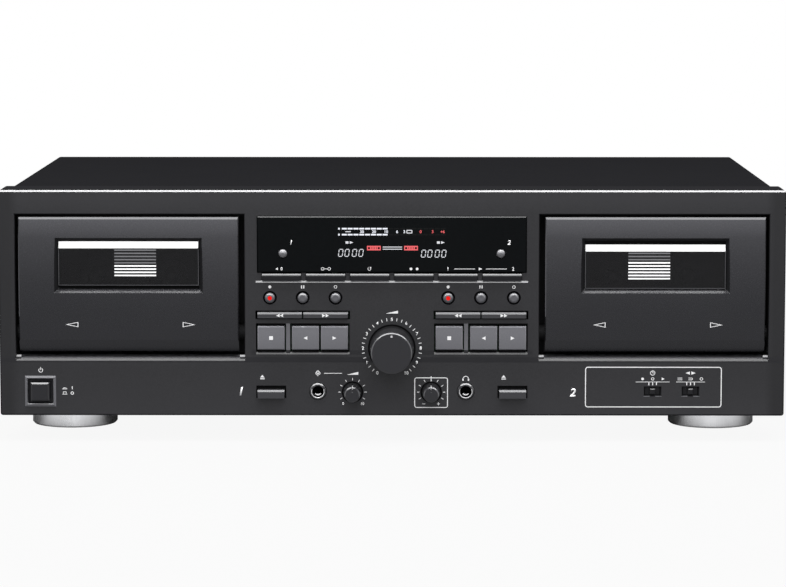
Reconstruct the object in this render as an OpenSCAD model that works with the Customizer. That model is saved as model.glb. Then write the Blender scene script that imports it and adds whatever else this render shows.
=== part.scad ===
// Double cassette deck: a full-width stereo component with two front-loading cassette bays.
// Millimetres. X runs to the right of a viewer in front, Y from front to back, Z up.
// The origin is the middle of the footprint, on the surface that the feet stand on.
// Sizes on the front are heights above the panel's lower edge, distances from its middle and
// depths behind its face.

/* [Case] */
// Width of the front panel
panel_w = 435; // [432:1:445]
// Height of the front panel
panel_h = 125.4; // [124:0.2:132]
// Depth of the front panel's rim
panel_rim = 30; // [30:1:36]
// Thickness of the front panel's face
panel_wall = 2.6; // [2.2:0.1:3]
// Thickness of the front panel's rim
rim_wall = 2.4; // [1.6:0.1:3]
// Bevel round the front panel's face
edge_bevel = 0.9; // [0.4:0.1:1.6]
// Corner radius of the front panel
corner_r = 1.6; // [0.6:0.2:2]
// Depth from the panel's face to the outside of the rear panel
body_depth = 262; // [250:1:300]
// Width of the top cover
cover_w = 426.6; // [420:0.2:430]
// Radius of the cover's folded edges
cover_r = 2.4; // [1.6:0.2:4]
// Thickness of the steel sheet
sheet = 1; // [0.8:0.1:1.4]
// Height of the chassis flanges
flange_h = 14; // [12:1:20]
// Distance that the front panel hangs below the chassis
panel_drop = 1; // [0.4:0.2:1.4]
// Height of a foot
foot_h = 15.6; // [12:0.2:22]
// Diameter of a foot
foot_d = 50; // [40:1:54]
// Distance of a foot's centre from the middle
foot_x = 183.5; // [150:0.5:185]
// Distance of the front feet's centres behind the panel's face
foot_front = 73; // [60:1:90]
// Distance of the rear feet's centres from the rear panel
foot_rear = 45; // [36:1:70]
// Diameter of the screws
screw_d = 3; // [2.6:0.1:3.4]

/* [Cassette bays] */
// Distance of a bay's inner edge from the middle
bay_in = 81.4; // [81.2:0.1:82]
// Width of a bay's opening
bay_w = 127; // [126.6:0.2:128]
// Height of a bay's sill
bay_z = 32.1; // [31:0.1:32.4]
// Height of a bay's opening
bay_h = 80.1; // [79.8:0.1:81]
// Bevel of a bay's sill
sill_bevel = 1.5; // [0.6:0.1:2]
// Bevel of the other edges of a bay
bay_edge = 0.4; // [0.2:0.1:0.8]
// Width of the door rests at the ends of a sill
rest_w = 2.8; // [2:0.1:3.6]
// Height of the door rests above a sill
rest_h = 2.9; // [2:0.1:3]
// Wall of the cassette wells
well_wall = 1.6; // [1.2:0.1:2]
// Width of a door
door_w = 121.6; // [119:0.2:122]
// Height of a door
door_h = 74.8; // [74:0.1:75]
// Gap between a door and the outer edge of its bay
door_gap = 2; // [1:0.1:2.6]
// Gap above a door
door_gap_top = 1.7; // [1:0.1:2]
// Bow of a door's face
door_bow = 1.4; // [0.6:0.1:2]
// Depth of a door's upper and lower edges behind the panel's face
door_set = 0.3; // [0:0.1:0.6]
// Depth of a door's flat inner face
door_back = 1.6; // [1.4:0.1:2]
// Depth of a door's returned edges
door_skirt = 6; // [5.5:0.1:6.2]
// Height of the sloping chin of a door
chin_h = 6.6; // [5:0.2:7.6]
// Depth of a chin's lower edge
chin_set = 3.4; // [2.8:0.1:4]
// Height of the bevel along a door's upper edge
door_top_bevel = 1; // [0.6:0.1:1.4]
// Depth of the bevel along a door's upper edge
door_top_depth = 0.45; // [0.3:0.05:1]
// Bevel along a door's sides
door_side_bevel = 0.5; // [0.3:0.1:0.8]
// Width of a door's window
window_w = 78.1; // [70:0.1:80]
// Height of a door's window
window_h = 26.9; // [24:0.1:28]
// Height of a window above its door's lower edge
window_z = 34.9; // [33:0.1:36]
// Bevel round a window
window_bevel = 2.1; // [1:0.1:2.4]
// Thickness of a lens's flange
lens_t = 1.6; // [1.2:0.1:2]
// Height of the sloping band along a lens's upper edge
band_h = 4.4; // [3:0.1:6]
// Play of a lens in its window: the left one sits high and the right one low
lens_play = 1.6; // [0.6:0.1:2]

/* [Cassette mechanism] */
// Width of a cassette
cassette_w = 100.4; // [100:0.1:101]
// Height of a cassette
cassette_h = 63.8; // [63.4:0.1:64.2]
// Thickness of a cassette
cassette_t = 12; // [11.6:0.1:12.2]
// Play round a cassette in its holder
cassette_play = 0.3; // [0.2:0.1:0.5]
// Height of the reels' axes
hub_z = 76; // [75.6:0.1:76.4]
// Height of the reels' axes above a cassette's lower edge
hub_up = 34.4; // [34:0.1:34.6]
// Distance between the two reels of a deck
hub_pitch = 42.5; // [42:0.1:43]
// Distance of a mechanism's centre line inside its bay's
mech_inset = 0.9; // [0:0.1:1.6]
// Wall of a cassette holder
holder_wall = 1.6; // [1.4:0.1:1.8]
// Diameter of a door's hinge pins
hinge_d = 4; // [3:0.2:5]
// Depth of the hinge axis
hinge_depth = 12.5; // [12.2:0.1:13]
// Height of the hinge axis above its door's lower edge
hinge_up = 9.5; // [9:0.1:10.5]
// Depth of a well's back wall
well_depth = 27; // [27:0.1:27.6]
// Thickness of a well's back wall
well_back = 2; // [1.6:0.1:2.4]
// Diameter of the reel axles
axle_d = 2; // [1.6:0.1:2.4]
// Radial clearance of turning fits
turn_fit = 0.05; // [0.03:0.01:0.09]
// Travel of a head plate
head_travel = 9; // [8:0.1:9]
// Diameter of the pinch rollers
roller_d = 7.6; // [7:0.1:7.8]
// Diameter of the capstans
capstan_d = 2.5; // [2:0.1:3]
// Distance of a capstan from its deck's centre line
capstan_x = 31.5; // [30.5:0.1:32]

/* [Display and keys] */
// Width of the display lens
display_w = 148.6; // [140:0.2:149]
// Height of the display lens
display_h = 31; // [28:0.2:31.6]
// Height of the display lens's lower edge
display_z = 80; // [79.8:0.1:80.4]
// Distance that the display lens stands proud of the panel
display_proud = 0.8; // [0.4:0.1:1.2]
// Width of the display tube
tube_w = 104; // [96:1:110]
// Height of the display tube
tube_h = 25; // [20:0.5:25]
// Gap round lenses and keys
key_gap = 0.3; // [0.3:0.05:0.4]
// Distance between the centres of the six function keys
function_pitch = 24.4; // [24.2:0.1:24.6]
// Width of a function key
function_w = 21.4; // [19:0.1:21.4]
// Height of a function key
function_h = 3.6; // [3:0.1:3.6]
// Distance that the function keys stand out from the panel
function_reach = 1.8; // [1.4:0.1:3]
// Height of the bevel below the function keys
function_sill = 1.1; // [0.6:0.1:1.4]
// Distance of the counter reset buttons from the middle
clear_x = 60.2; // [59.6:0.1:66]
// Height of the counter reset buttons
clear_z = 90.5; // [88:0.1:100]
// Diameter of the counter reset buttons
clear_d = 4.8; // [3.6:0.1:5.2]
// Distance of a deck's key group from the middle
group_x = 49.3; // [48.6:0.1:49.6]
// Width of a deck's key group
group_w = 50; // [48:0.1:50.4]
// Height of the round buttons' centres
round_z = 65.8; // [65.4:0.1:66.4]
// Diameter of the round buttons
round_d = 5.6; // [4.6:0.1:5.8]
// Distance between the round buttons of a deck
round_pitch = 18.15; // [17:0.05:18.4]
// Height of the winding keys' lower edges
wind_z = 54.7; // [54.6:0.1:55]
// Height of a winding key
wind_h = 3.2; // [2.8:0.1:3.4]
// Height of the slope along a winding key's upper edge
wind_slope = 1; // [0.4:0.1:1.4]
// Height of the transport keys' lower edges
transport_z = 37; // [36.6:0.1:37.2]
// Height of a transport key
transport_h = 13.1; // [12:0.1:13.2]
// Height of the bevel below the transport keys
transport_sill = 1.2; // [0.6:0.1:1.6]
// Width of an eject key
eject_w = 14.8; // [13:0.1:15]
// Height of an eject key
eject_h = 4.6; // [4:0.1:4.8]
// Height of the eject keys' lower edges
eject_z = 10.2; // [10:0.1:10.6]
// Travel of the small keys
key_travel = 1.2; // [0.8:0.1:1.4]
// Travel of an eject key
eject_travel = 4; // [3:0.1:4.4]

/* [Knobs, switches and sockets] */
// Diameter of the record level knob's base
level_d = 24.6; // [22:0.2:25]
// Height of the record level knob's axis
level_z = 37.8; // [37:0.1:39]
// Distance that the record level knob stands out from the panel
knob_reach = 23; // [16:0.5:26]
// Diameter of the small knobs' bases
small_d = 10.4; // [9.4:0.1:11]
// Distance of the small knobs from the middle
small_x = 21.8; // [21:0.1:23]
// Height of the small knobs' axes
small_z = 13.2; // [12.6:0.1:14]
// Distance that the small knobs stand out from the panel
small_reach = 11.5; // [9:0.5:14]
// Diameter of the potentiometer shafts
shaft_d = 6; // [5:0.2:6.4]
// Distance of the microphone and headphone sockets from the middle
jack_x = 41; // [40.4:0.1:42]
// Height of the microphone and headphone sockets
jack_z = 13.6; // [13.2:0.1:14]
// Bore of the microphone and headphone sockets
jack_bore = 6.5; // [6.4:0.05:6.6]
// Diameter of the sockets' nose rings
jack_nose = 9.2; // [8.6:0.1:9.4]
// Distance of the power button from the middle
power_x = 195; // [192:0.5:197]
// Height of the power button's centre
power_z = 13.6; // [13.2:0.1:14.4]
// Side of the power button
power_w = 10.2; // [9:0.1:11]
// Side of the power button's opening
power_hole = 13.8; // [13:0.1:14]
// Side of the power button's raised bezel
power_bezel = 17.2; // [16.4:0.1:18]
// Reach of the bezel in front of the panel
bezel_reach = 1.3; // [0.8:0.1:1.6]
// Bevel round the bezel's outer edge
bezel_bevel = 1; // [0.4:0.1:1.1]
// Travel of the power button
power_travel = 4; // [2:0.2:4.2]
// Distance of the first slide switch from the middle
switch_x = 144.6; // [140:0.1:146]
// Distance between the two slide switches
switch_pitch = 21; // [19:0.1:23]
// Height of the slide switches
switch_z = 13.6; // [13:0.1:14.2]
// Travel of a slide switch to each side
switch_travel = 2.4; // [1.8:0.1:2.6]
// Diameter of the phono sockets' shells
phono_d = 8.3; // [8.2:0.05:8.4]
// Distance that the phono sockets stand out from the rear panel
jack_reach = 8; // [7:0.1:10]
// Distance between phono sockets
phono_pitch = 16; // [14:0.1:18]
// Distance of the phono sockets from the middle
phono_x = 150; // [120:1:165]
// Height of the lower phono sockets
phono_z = 34; // [30:0.5:44]
// Bore of the cord gland
gland_bore = 6.6; // [6:0.1:7]
// Distance of the cord gland from the middle
gland_x = 180; // [150:1:190]
// Height of the cord gland
gland_z = 32; // [26:0.5:44]

/* [Hidden] */
$fn = 48;
eps = 0.5;
face_y = (knob_reach - body_depth - jack_reach) / 2;
panel_z0 = foot_h - panel_drop;
floor_z = panel_drop + sheet;
inner_half = cover_w / 2 - sheet;
lip_t = 1.6;
lip_half = bay_in + bay_w + well_wall + 0.4;
cover_top = panel_h - sheet;
rear_screw_x = inner_half - 62.3;

// Bays, doors and mechanisms. Positions along X are measured outward from a mechanism's centre line.
mech_x = bay_in + bay_w / 2 - mech_inset;
cheek_in = bay_in - mech_x;
cheek_out = cheek_in + bay_w;
door_x = cheek_out - door_gap - door_w / 2;
door_z = bay_z + bay_h - door_gap_top - door_h;
door_rad = (door_h * door_h / 4 + door_bow * door_bow) / (2 * door_bow);
chin_face = door_set - door_bow + door_rad - sqrt(pow(door_rad, 2) - pow(door_h / 2 - chin_h, 2));
chin_slope = (chin_set - chin_face) / chin_h;
top_slope = door_top_depth / door_top_bevel;
door_side = 2;
hinge_z = door_z + hinge_up;
space_front = door_skirt + holder_wall;
space_back = space_front + cassette_t + 2 * cassette_play;
holder_half = cassette_w / 2 + cassette_play + holder_wall;
cassette_z = hub_z - hub_up;
shelf_in = 38;
pin_gap = 0.8;
pin_len = 6;
well_rear = well_depth + well_back;
plate_depth = 24.4;
plate_t = 1.2;
plate_gap = 0.3;
plate_z = bay_z + 0.7;
guide_x = 18;
guide_z = plate_z + 13.2;
guide_d = 3;
roller_z = plate_z + roller_d / 2 + 0.5;
capstan_z = roller_z + head_travel + roller_d / 2 + capstan_d / 2 + 0.15;
wheel_depth = well_rear + 2;
wheel_t = 6;
wheel_r = 14;
brace_depth = wheel_depth + wheel_t + 3;
brace_t = 1.6;
brace_in = -61;
brace_out = inner_half - 7.3 - mech_x;
brace_posts = [bay_z + 1.4, bay_z + bay_h - 8];
motor_z = 84;
motor_r = 15;
pulley_r = 4;
pane_h = window_h - lens_play - 2 * key_gap;
pane_front = 0.6;
sight_z = hub_z - 3.2;
sight_w = 24;
sight_h = 26;

// Keys. A key's flange lies behind the panel, and its stem ends just short of a switch on the board.
key_back = panel_wall + 0.1;
key_flange = 1.2;
board_depth = 18;
board_t = 1.6;
button_h = 3;
stem_end = board_depth - button_h - key_travel - 0.3;
eject_x = group_x + group_w / 2 - eject_w / 2;
wind_w = (group_w - 0.8) / 2;
transport_w = (group_w - 5.2) / 3;
transport_at = [
    -group_w / 2 + transport_w / 2,
    group_w / 2 - 1.5 * transport_w - 1.1,
    group_w / 2 - transport_w / 2
];
rib_x = -group_w / 2 + transport_w + 1.9;
rib_w = 2.2;
group_lip = 1.1;
transport_room = 1.5;
wind_room = 0.8;
eject_room = 2;
eject_end = panel_rim - eject_travel - 0.6;
pot_depth = 10;
pot_side = 24;
small_pot = 10;
control_z = 6;
control_h = panel_h - control_z - 4.4;
control_w = 2 * (bay_in - well_wall - 4.8);
pillars = [
    for (t = [-1, 1]) [t * 0.4 * control_w, control_z + control_h - 3.5],
    for (t = [-1, 1]) [t * 0.36 * control_w, control_z + 18]
];
carrier_depth = 12;
tube_t = 6;
tube_up = 3;
power_flange = power_hole + 1.6;
power_post = power_flange / 2 + 2.6;
power_depth = 12;
switch_flange = 2 * switch_travel + 8;
switch_post = switch_pitch / 2 + switch_flange / 2 + switch_travel + 2.6;
switch_depth = 8;

// Inside the case
main_w = 250;
main_len = 142;
main_x = main_w / 2 + 24.3 - inner_half;
main_depth = body_depth - 26 - main_len / 2;
main_up = 8;
core = [60, 34, 50];
coil = [38, 54, 34];
transformer_x = inner_half - 76.3;
transformer_depth = body_depth - 66;

DECKS = [-1, 1];
FUNCTION_KEYS = ["zero_key", "sync_key", "repeat_key", "dual_record_key", "copy_normal_key", "copy_fast_key"];
SIDE_NAMES = ["left", "right"];
ROUND_NAMES = ["record_button", "pause_button", "mute_button"];
WIND_NAMES = ["rewind_key", "forward_key"];
TRANSPORT_NAMES = ["stop_key", "reverse_key", "play_key"];
REEL_NAMES = ["supply_reel", "takeup_reel"];
PAIR_NAMES = ["door_panel", "door_window", "cassette_holder", "head_plate", "clear_button", "eject_key"];

function both(names) = [for (n = names) for (d = SIDE_NAMES) str(n, "_", d)];

PANEL = [0.2, 0.2, 0.21];
STEEL = [0.15, 0.15, 0.16];
DARK = [0.08, 0.08, 0.08];
SILVER = [0.72, 0.72, 0.72];
GREY = [0.4, 0.4, 0.41];
GLASS = [0.03, 0.03, 0.04];
BOARD = [0.1, 0.3, 0.16];
RUBBER = [0.05, 0.05, 0.05];

// Places on the front panel and in a deck

module at_face(x = 0, z = 0, depth = 0) translate([x, face_y + depth, panel_z0 + z]) children();

// A deck's own place: X runs outward, so the left deck is a mirror image of the right one.
module at_deck(s) mirror([s < 0 ? 1 : 0, 0, 0]) at_face(mech_x) children();

// The two reels of a deck lie to the left and the right as seen from the front.
module at_reel(s, i) at_face(s * mech_x + (i - 0.5) * hub_pitch, hub_z) children();

function function_at(i) = (i - 2.5) * function_pitch;
function round_at(s, i) = s * group_x + (i - 1) * round_pitch;
function wind_at(s, i) = s * group_x + (i - 0.5) * (group_w + 0.8) / 2;
function transport_x(s, i) = s * group_x + transport_at[i];

// Shapes

// Prism of an outline in depth and height, centred on X
module along_width(w) translate([-w / 2, 0, 0]) rotate([90, 0, 90]) linear_extrude(w) children();

// Prism of an outline in X and height, from depth a to depth b
module along_depth(a, b) translate([0, b, 0]) rotate([90, 0, 0]) linear_extrude(b - a) children();

// Block centred on X, standing on height 0, from depth a to depth b
module block(w, h, a, b) translate([-w / 2, a, 0]) cube([w, b - a, h]);

// Round bar from depth a to depth b
module rod(r, a, b) translate([0, a, 0]) rotate([-90, 0, 0]) cylinder(r = r, h = b - a);

// Cone from radius r at depth a to radius q at depth b
module taper(r, q, a, b) translate([0, a, 0]) rotate([-90, 0, 0]) cylinder(r1 = r, r2 = q, h = b - a);

// Block with bevelled edges round its front
module bevelled_block(w, h, a, b, bevel) intersection() {
    along_width(w) polygon([[b, 0], [a + bevel, 0], [a, bevel], [a, h - bevel], [a + bevel, h], [b, h]]);
    linear_extrude(h) polygon([
        [-w / 2, b], [-w / 2, a + bevel], [-w / 2 + bevel, a],
        [w / 2 - bevel, a], [w / 2, a + bevel], [w / 2, b]
    ]);
}

// Opening of w by h at depth b that widens by the flare towards depth a
module flared_cut(w, h, a, b, flare) {
    grow = flare * (b - a + eps) / (b - a);
    intersection() {
        along_width(w + 4 * grow + 4) polygon([
            [a - eps, -grow], [b, 0], [b + eps, 0],
            [b + eps, h], [b, h], [a - eps, h + grow]
        ]);
        translate([0, 0, -grow - 2]) linear_extrude(h + 2 * grow + 4) polygon([
            [-w / 2 - grow, a - eps], [-w / 2, b], [-w / 2, b + eps],
            [w / 2, b + eps], [w / 2, b], [w / 2 + grow, a - eps]
        ]);
    }
}

// Outline standing on height 0 with rounded upper corners
module arch(w, h, r) {
    translate([-w / 2, 0]) square([w, h - r]);
    translate([-w / 2 + r, 0]) square([w - 2 * r, h]);
    for (s = DECKS) translate([s * (w / 2 - r), h - r]) circle(r = r);
}

// Outline standing on height 0 with four rounded corners
module rounded(w, h, r) {
    translate([-w / 2, r]) square([w, h - 2 * r]);
    translate([-w / 2 + r, 0]) square([w - 2 * r, h]);
    for (s = DECKS) for (z = [r, h - r]) translate([s * (w / 2 - r), z]) circle(r = r);
}

// Bar key: a cap with a sloping upper edge, a flange behind the panel and a stem
module bar_key(w, h, reach, slope, side, low, high, stem) {
    along_width(w) polygon([
        [key_back + eps, 0], [-reach, 0], [-reach, h - slope],
        [-reach + slope, h], [key_back + eps, h]
    ]);
    translate([0, 0, -low]) block(w + 2 * side, h + low + high, key_back, key_back + key_flange);
    translate([0, 0, h / 2]) rod(1.5, key_back, stem);
}

// Round button with a domed front
module round_button(r, reach, back, stem) {
    intersection() {
        rod(r, -reach, back + eps);
        translate([0, 1.7 * r - reach, 0]) sphere(r = 1.7 * r);
    }
    rod(r + 1.1, back, back + key_flange);
    rod(1.5, back, stem);
}

// Case

// The rim ends in a lip, and the cover and the chassis butt against it.
module panel_shell() difference() {
    intersection() {
        bevelled_block(panel_w, panel_h, 0, panel_rim, edge_bevel);
        along_depth(0, panel_rim) rounded(panel_w, panel_h, corner_r);
    }
    translate([0, 0, rim_wall])
        block(panel_w - 2 * rim_wall, panel_h - 2 * rim_wall, panel_wall, panel_rim - lip_t);
    translate([0, 0, panel_drop + 3 * sheet])
        block(2 * lip_half, panel_h - panel_drop - 6 * sheet, panel_wall, panel_rim + eps);
}

// Bevel of height h and depth d along the lower edge of an opening, running up into it by the lap
module sill_cut(w, h, d, lap) along_width(w)
    polygon([[-1, -h - h / d], [d + lap * d / h, lap], [-1, lap]]);

module bay_cut(s) translate([s * (bay_in + bay_w / 2), 0, bay_z]) {
    block(bay_w, bay_h, -eps, panel_wall + eps);
    flared_cut(bay_w, bay_h, 0, bay_edge, bay_edge);
    sill_cut(bay_w, sill_bevel, sill_bevel, 1);
}

// Sloping blocks at the ends of a sill
module door_rests(s) for (t = DECKS)
    translate([s * (bay_in + bay_w / 2) + t * (bay_w - rest_w + eps) / 2, 0, bay_z])
        along_width(rest_w + eps)
            polygon([
                [1, -eps], [1, 0.4], [panel_wall - 0.2, rest_h],
                [panel_wall, rest_h], [panel_wall, -eps]
            ]);

module group_cuts(s) {
    for (i = [0:2]) translate([round_at(s, i), 0, round_z]) {
        rod(round_d / 2 + key_gap, -eps, panel_wall + eps);
        taper(round_d / 2 + 1.4, round_d / 2 + key_gap, -eps, 1.4);
    }
    translate([s * group_x, 0, wind_z - wind_room])
        block(group_w + 2.4, wind_h + 2 * wind_room, -eps, panel_wall + eps);
    translate([s * group_x, 0, transport_z - transport_room]) {
        block(group_w + 1.8, transport_h + 2 * transport_room, -eps, panel_wall + eps);
        sill_cut(group_w + 1.8, transport_sill, 0.6 * transport_sill, 1);
    }
    translate([s * eject_x, 0, eject_z - 0.5])
        block(eject_w + 1.8, eject_h + eject_room + 0.5, -eps, panel_wall + eps);
    translate([s * jack_x, 0, jack_z]) rod(jack_nose / 2 + key_gap, -eps, panel_wall + eps);
}

module display_cut() {
    translate([0, 0, display_z - key_gap])
        block(display_w + 2 * key_gap, display_h + 2 * key_gap, -eps, panel_wall + eps);
    for (i = [0:5]) translate([function_at(i), 0, display_z - function_h - 1])
        block(function_w + 2 * key_gap, function_h + 1, -eps, panel_wall + eps);
    translate([0, 0, display_z - function_h - 1])
        sill_cut(display_w + 2, function_sill, 0.32 * function_sill, 0);
}

module front_panel() color(PANEL) at_face() {
    difference() {
        union() {
            panel_shell();
            translate([-power_x, 0, power_z - power_bezel / 2]) flared_frame();
            for (p = pillars) translate([p[0], 0, p[1]]) rod(3, panel_wall - eps, board_depth);
            for (t = DECKS) {
                translate([t * power_post - power_x, 0, power_z]) rod(1.6, panel_wall - eps, power_depth);
                translate([switch_x + switch_pitch / 2 + t * switch_post, 0, switch_z])
                    rod(2, panel_wall - eps, switch_depth);
            }
        }
        for (s = DECKS) {
            bay_cut(s);
            group_cuts(s);
            translate([s * small_x, 0, small_z]) rod(shaft_d / 2 + 1, -eps, panel_wall + eps);
        }
        display_cut();
        translate([0, 0, level_z]) rod(shaft_d / 2 + 1, -eps, panel_wall + eps);
        translate([-power_x, 0, power_z - power_hole / 2]) {
            block(power_hole, power_hole, -2 * bezel_reach, panel_wall + eps);
            flared_cut(power_hole, power_hole, -bezel_reach, 0, 0.5);
        }
        for (i = [0:1]) translate([switch_x + i * switch_pitch, 0, switch_z - 2.1])
            flared_cut(2 * switch_travel + 3.4, 4.2, 0, panel_wall, 0.8);
    }
    for (s = DECKS) {
        door_rests(s);
        translate([s * group_x + rib_x, 0, transport_z - transport_room - 0.5])
            block(rib_w, transport_h + 2 * transport_room + 1, 0.3, panel_wall - 0.2);
    }
}

module flared_frame()
    bevelled_block(power_bezel, power_bezel, -bezel_reach, panel_wall - eps, bezel_bevel);

module top_cover() color(STEEL) at_face(0, panel_drop) difference() {
    union() {
        along_depth(panel_rim, body_depth + sheet) difference() {
            arch(cover_w, panel_h - panel_drop, cover_r);
            translate([0, -1]) arch(cover_w - 2 * sheet, panel_h - panel_drop - sheet + 1, cover_r - sheet);
        }
        translate([0, 0, panel_h - panel_drop - 12]) along_depth(body_depth, body_depth + sheet)
            arch(cover_w - sheet, 12 - sheet / 2, cover_r - sheet / 2);
    }
    side_screws() rod(screw_d / 2 + 0.1, -9, 9);
    rear_screws() rod(screw_d / 2 + 0.1, -9, 9);
}

// Places of the cover's screws, measured from the chassis: two in each side and three in the rear lip
module side_screws() for (s = DECKS) for (y = [70, body_depth - 50])
    translate([s * cover_w / 2, y, flange_h / 2]) rotate([0, 0, s * 90]) children();

module rear_screws() for (x = [-1, 0, 1])
    translate([x * rear_screw_x, body_depth + sheet, panel_h - panel_drop - 7])
        rotate([0, 0, 180]) children();

module foot_places() for (s = DECKS) for (y = [foot_front, body_depth - foot_rear])
    translate([s * foot_x, face_y + y, 0]) children();

standoffs = [for (x = [-1, 0, 1]) for (y = [-1, 1])
    [main_x + x * (main_w / 2 - 12), main_depth + y * (main_len / 2 - 10)]];

module bottom_chassis() color(STEEL) difference() {
    at_face(0, panel_drop) difference() {
        union() {
            block(2 * inner_half, sheet, panel_rim, body_depth);
            block(2 * inner_half, flange_h, panel_rim, panel_rim + sheet);
            for (s = DECKS) translate([s * (inner_half - sheet / 2), 0, 0])
                block(sheet, flange_h, panel_rim, body_depth - sheet);
            for (p = standoffs) translate([p[0], p[1], sheet - eps]) cylinder(r = 3.5, h = main_up + eps);
        }
        side_screws() rod(screw_d / 2 + 0.1, -9, 9);
    }
    foot_places() cylinder(r = screw_d / 2 + 0.6, h = 3 * foot_h);
}

module rear_panel() color(STEEL) at_face() difference() {
    union() {
        translate([0, 0, floor_z]) {
            block(2 * inner_half, cover_top - floor_z - cover_r, body_depth - sheet, body_depth);
            block(2 * (inner_half - cover_r), cover_top - floor_z, body_depth - sheet, body_depth);
            block(2 * (inner_half - sheet - 1), sheet, body_depth - 10, body_depth - sheet + eps / 2);
        }
    }
    phono_places() rod(phono_d / 2 + 1.2, -9, 9);
    translate([gland_x, body_depth, gland_z]) rod(5.1, -9, 9);
    translate([0, 0, panel_drop]) rear_screws() rod(screw_d / 2 + 0.1, -9, 9);
}

module feet() color(SILVER) foot_places() difference() {
    union() {
        cylinder(r1 = foot_d / 2 - 1.6, r2 = foot_d / 2 - 0.6, h = 1);
        translate([0, 0, 1]) cylinder(r = foot_d / 2 - 0.6, h = foot_h - 2);
        translate([0, 0, foot_h - 5]) cylinder(r = foot_d / 2, h = 5);
    }
    translate([0, 0, -1]) cylinder(r = 7, h = 7);
    translate([0, 0, -1]) cylinder(r = screw_d / 2 + 0.6, h = foot_h + 2);
}

module screw(head, length) {
    rod(head, -2, 0);
    rod(screw_d / 2, -eps, length);
}

module case_screws() color(DARK) {
    at_face(0, panel_drop) {
        side_screws() screw(2.8, 4);
        rear_screws() screw(2.8, 4);
    }
    foot_places() translate([0, 0, 6]) rotate([-90, 0, 0]) mirror([0, 1, 0]) screw(4.2, foot_h - 2);
}

// Rear sockets

module phono_places() for (i = [0:1]) for (j = [0:1])
    translate([i * phono_pitch - phono_x, body_depth, phono_z + j * phono_pitch]) children();

// Each socket is a plastic collar through the rear panel with a metal shell standing out of it.
module line_jacks() color(SILVER) at_face() difference() {
    union() {
        translate([phono_pitch / 2 - phono_x, 0, phono_z - 9])
            block(phono_pitch + 16, phono_pitch + 18, body_depth - sheet - 14, body_depth - sheet);
        phono_places() rod(phono_d / 2 + 0.9, -sheet - eps, 1);
        phono_places() rod(phono_d / 2, -sheet - eps, jack_reach);
    }
    phono_places() rod(1.75, -3, jack_reach + 1);
}

module cord_gland() color(RUBBER) at_face(gland_x, gland_z, body_depth) difference() {
    union() {
        taper(7.4, 6.6, 0, 3.4);
        rod(5, -sheet - eps, eps);
        rod(6.4, -sheet - 4, -sheet);
    }
    rod(gland_bore / 2, -20, 20);
}

// Display and boards

module display_window() color(GLASS) at_face() difference() {
    union() {
        translate([0, 0, display_z])
            bevelled_block(display_w, display_h, -display_proud, panel_wall + eps, 0.5);
        translate([0, 0, display_z]) block(display_w + 3.2, display_h + 2.4, panel_wall, panel_wall + 1.2);
    }
    for (s = DECKS) translate([s * clear_x, 0, clear_z]) rod(clear_d / 2 + key_gap, -3, 9);
}

module display_tube() color(GLASS) at_face(0, display_z + tube_up)
    bevelled_block(tube_w, tube_h, carrier_depth - tube_t, carrier_depth, 0.6);

module control_board() color(BOARD) at_face() {
    difference() {
        union() {
            translate([0, 0, control_z]) block(control_w, control_h, board_depth, board_depth + board_t);
            translate([0, 0, display_z + 2 * tube_up])
                block(tube_w - 6, tube_h - 7, carrier_depth, board_depth + eps);
            translate([0, 0, level_z - pot_side / 2]) block(pot_side, pot_side, pot_depth, board_depth + eps);
            translate([0, 0, level_z]) rod(shaft_d / 2 + 0.8, panel_wall + 0.6, pot_depth + eps);
            for (s = DECKS) {
                translate([s * small_x, 0, small_z]) {
                    translate([0, 0, -small_pot / 2])
                        block(small_pot, small_pot, pot_depth, board_depth + eps);
                    rod(shaft_d / 2 + 0.8, panel_wall + 0.6, pot_depth + eps);
                }
                translate([s * clear_x, 0, clear_z]) tact();
                for (i = [0:2]) {
                    translate([round_at(s, i), 0, round_z]) tact();
                    translate([transport_x(s, i), 0, transport_z + transport_h / 2]) tact();
                }
                for (i = [0:1]) translate([wind_at(s, i), 0, wind_z + wind_h / 2]) tact();
            }
            for (i = [0:5]) translate([function_at(i), 0, display_z - 0.7 - function_h / 2]) tact();
        }
        for (s = DECKS) {
            translate([s * jack_x, 0, jack_z - 8])
                block(16, 16, board_depth - eps, board_depth + board_t + eps);
            translate([s * small_x, 0, small_z]) rod(shaft_d / 2 + turn_fit, 0, board_depth);
            translate([s * eject_x, 0, eject_z + eject_h / 2]) rod(3, board_depth - eps, board_depth + 9);
        }
        translate([0, 0, level_z]) rod(shaft_d / 2 + turn_fit, 0, board_depth);
    }
    translate([-power_x, 0, power_z - power_flange / 2])
        block(2 * power_post + 2, power_flange, power_depth, panel_rim - 1);
    translate([switch_x + switch_pitch / 2, 0, switch_z - 6])
        block(2 * switch_post + 5, 12, switch_depth, switch_depth + board_t);
}

module tact() translate([0, 0, -2.6]) block(5.2, 5.2, board_depth - button_h, board_depth + eps);

module main_board() color(BOARD) at_face(main_x, floor_z + main_up, main_depth) {
    translate([-main_w / 2, -main_len / 2, 0]) cube([main_w, main_len, board_t]);
    for (i = [0:5]) translate([i * 22 - 90, (i % 2) * 34 - 15, 1]) cylinder(r = 6.3, h = 20);
    translate([65, -14, 0.6]) cube([10, 50, 26]);
    for (i = [0:2]) translate([i * 40 - 60, 8 - main_len / 2, 1]) cube([24, 7, 9]);
}

module power_transformer() color(STEEL) at_face(transformer_x, floor_z, transformer_depth) {
    translate([-core[0] / 2 - 10, -core[1] / 2 - 3, 0]) cube([core[0] + 20, core[1] + 6, 3]);
    translate([-core[0] / 2, -core[1] / 2, 2]) cube(core);
    translate([-coil[0] / 2, -coil[1] / 2, 10]) cube(coil);
}

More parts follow.
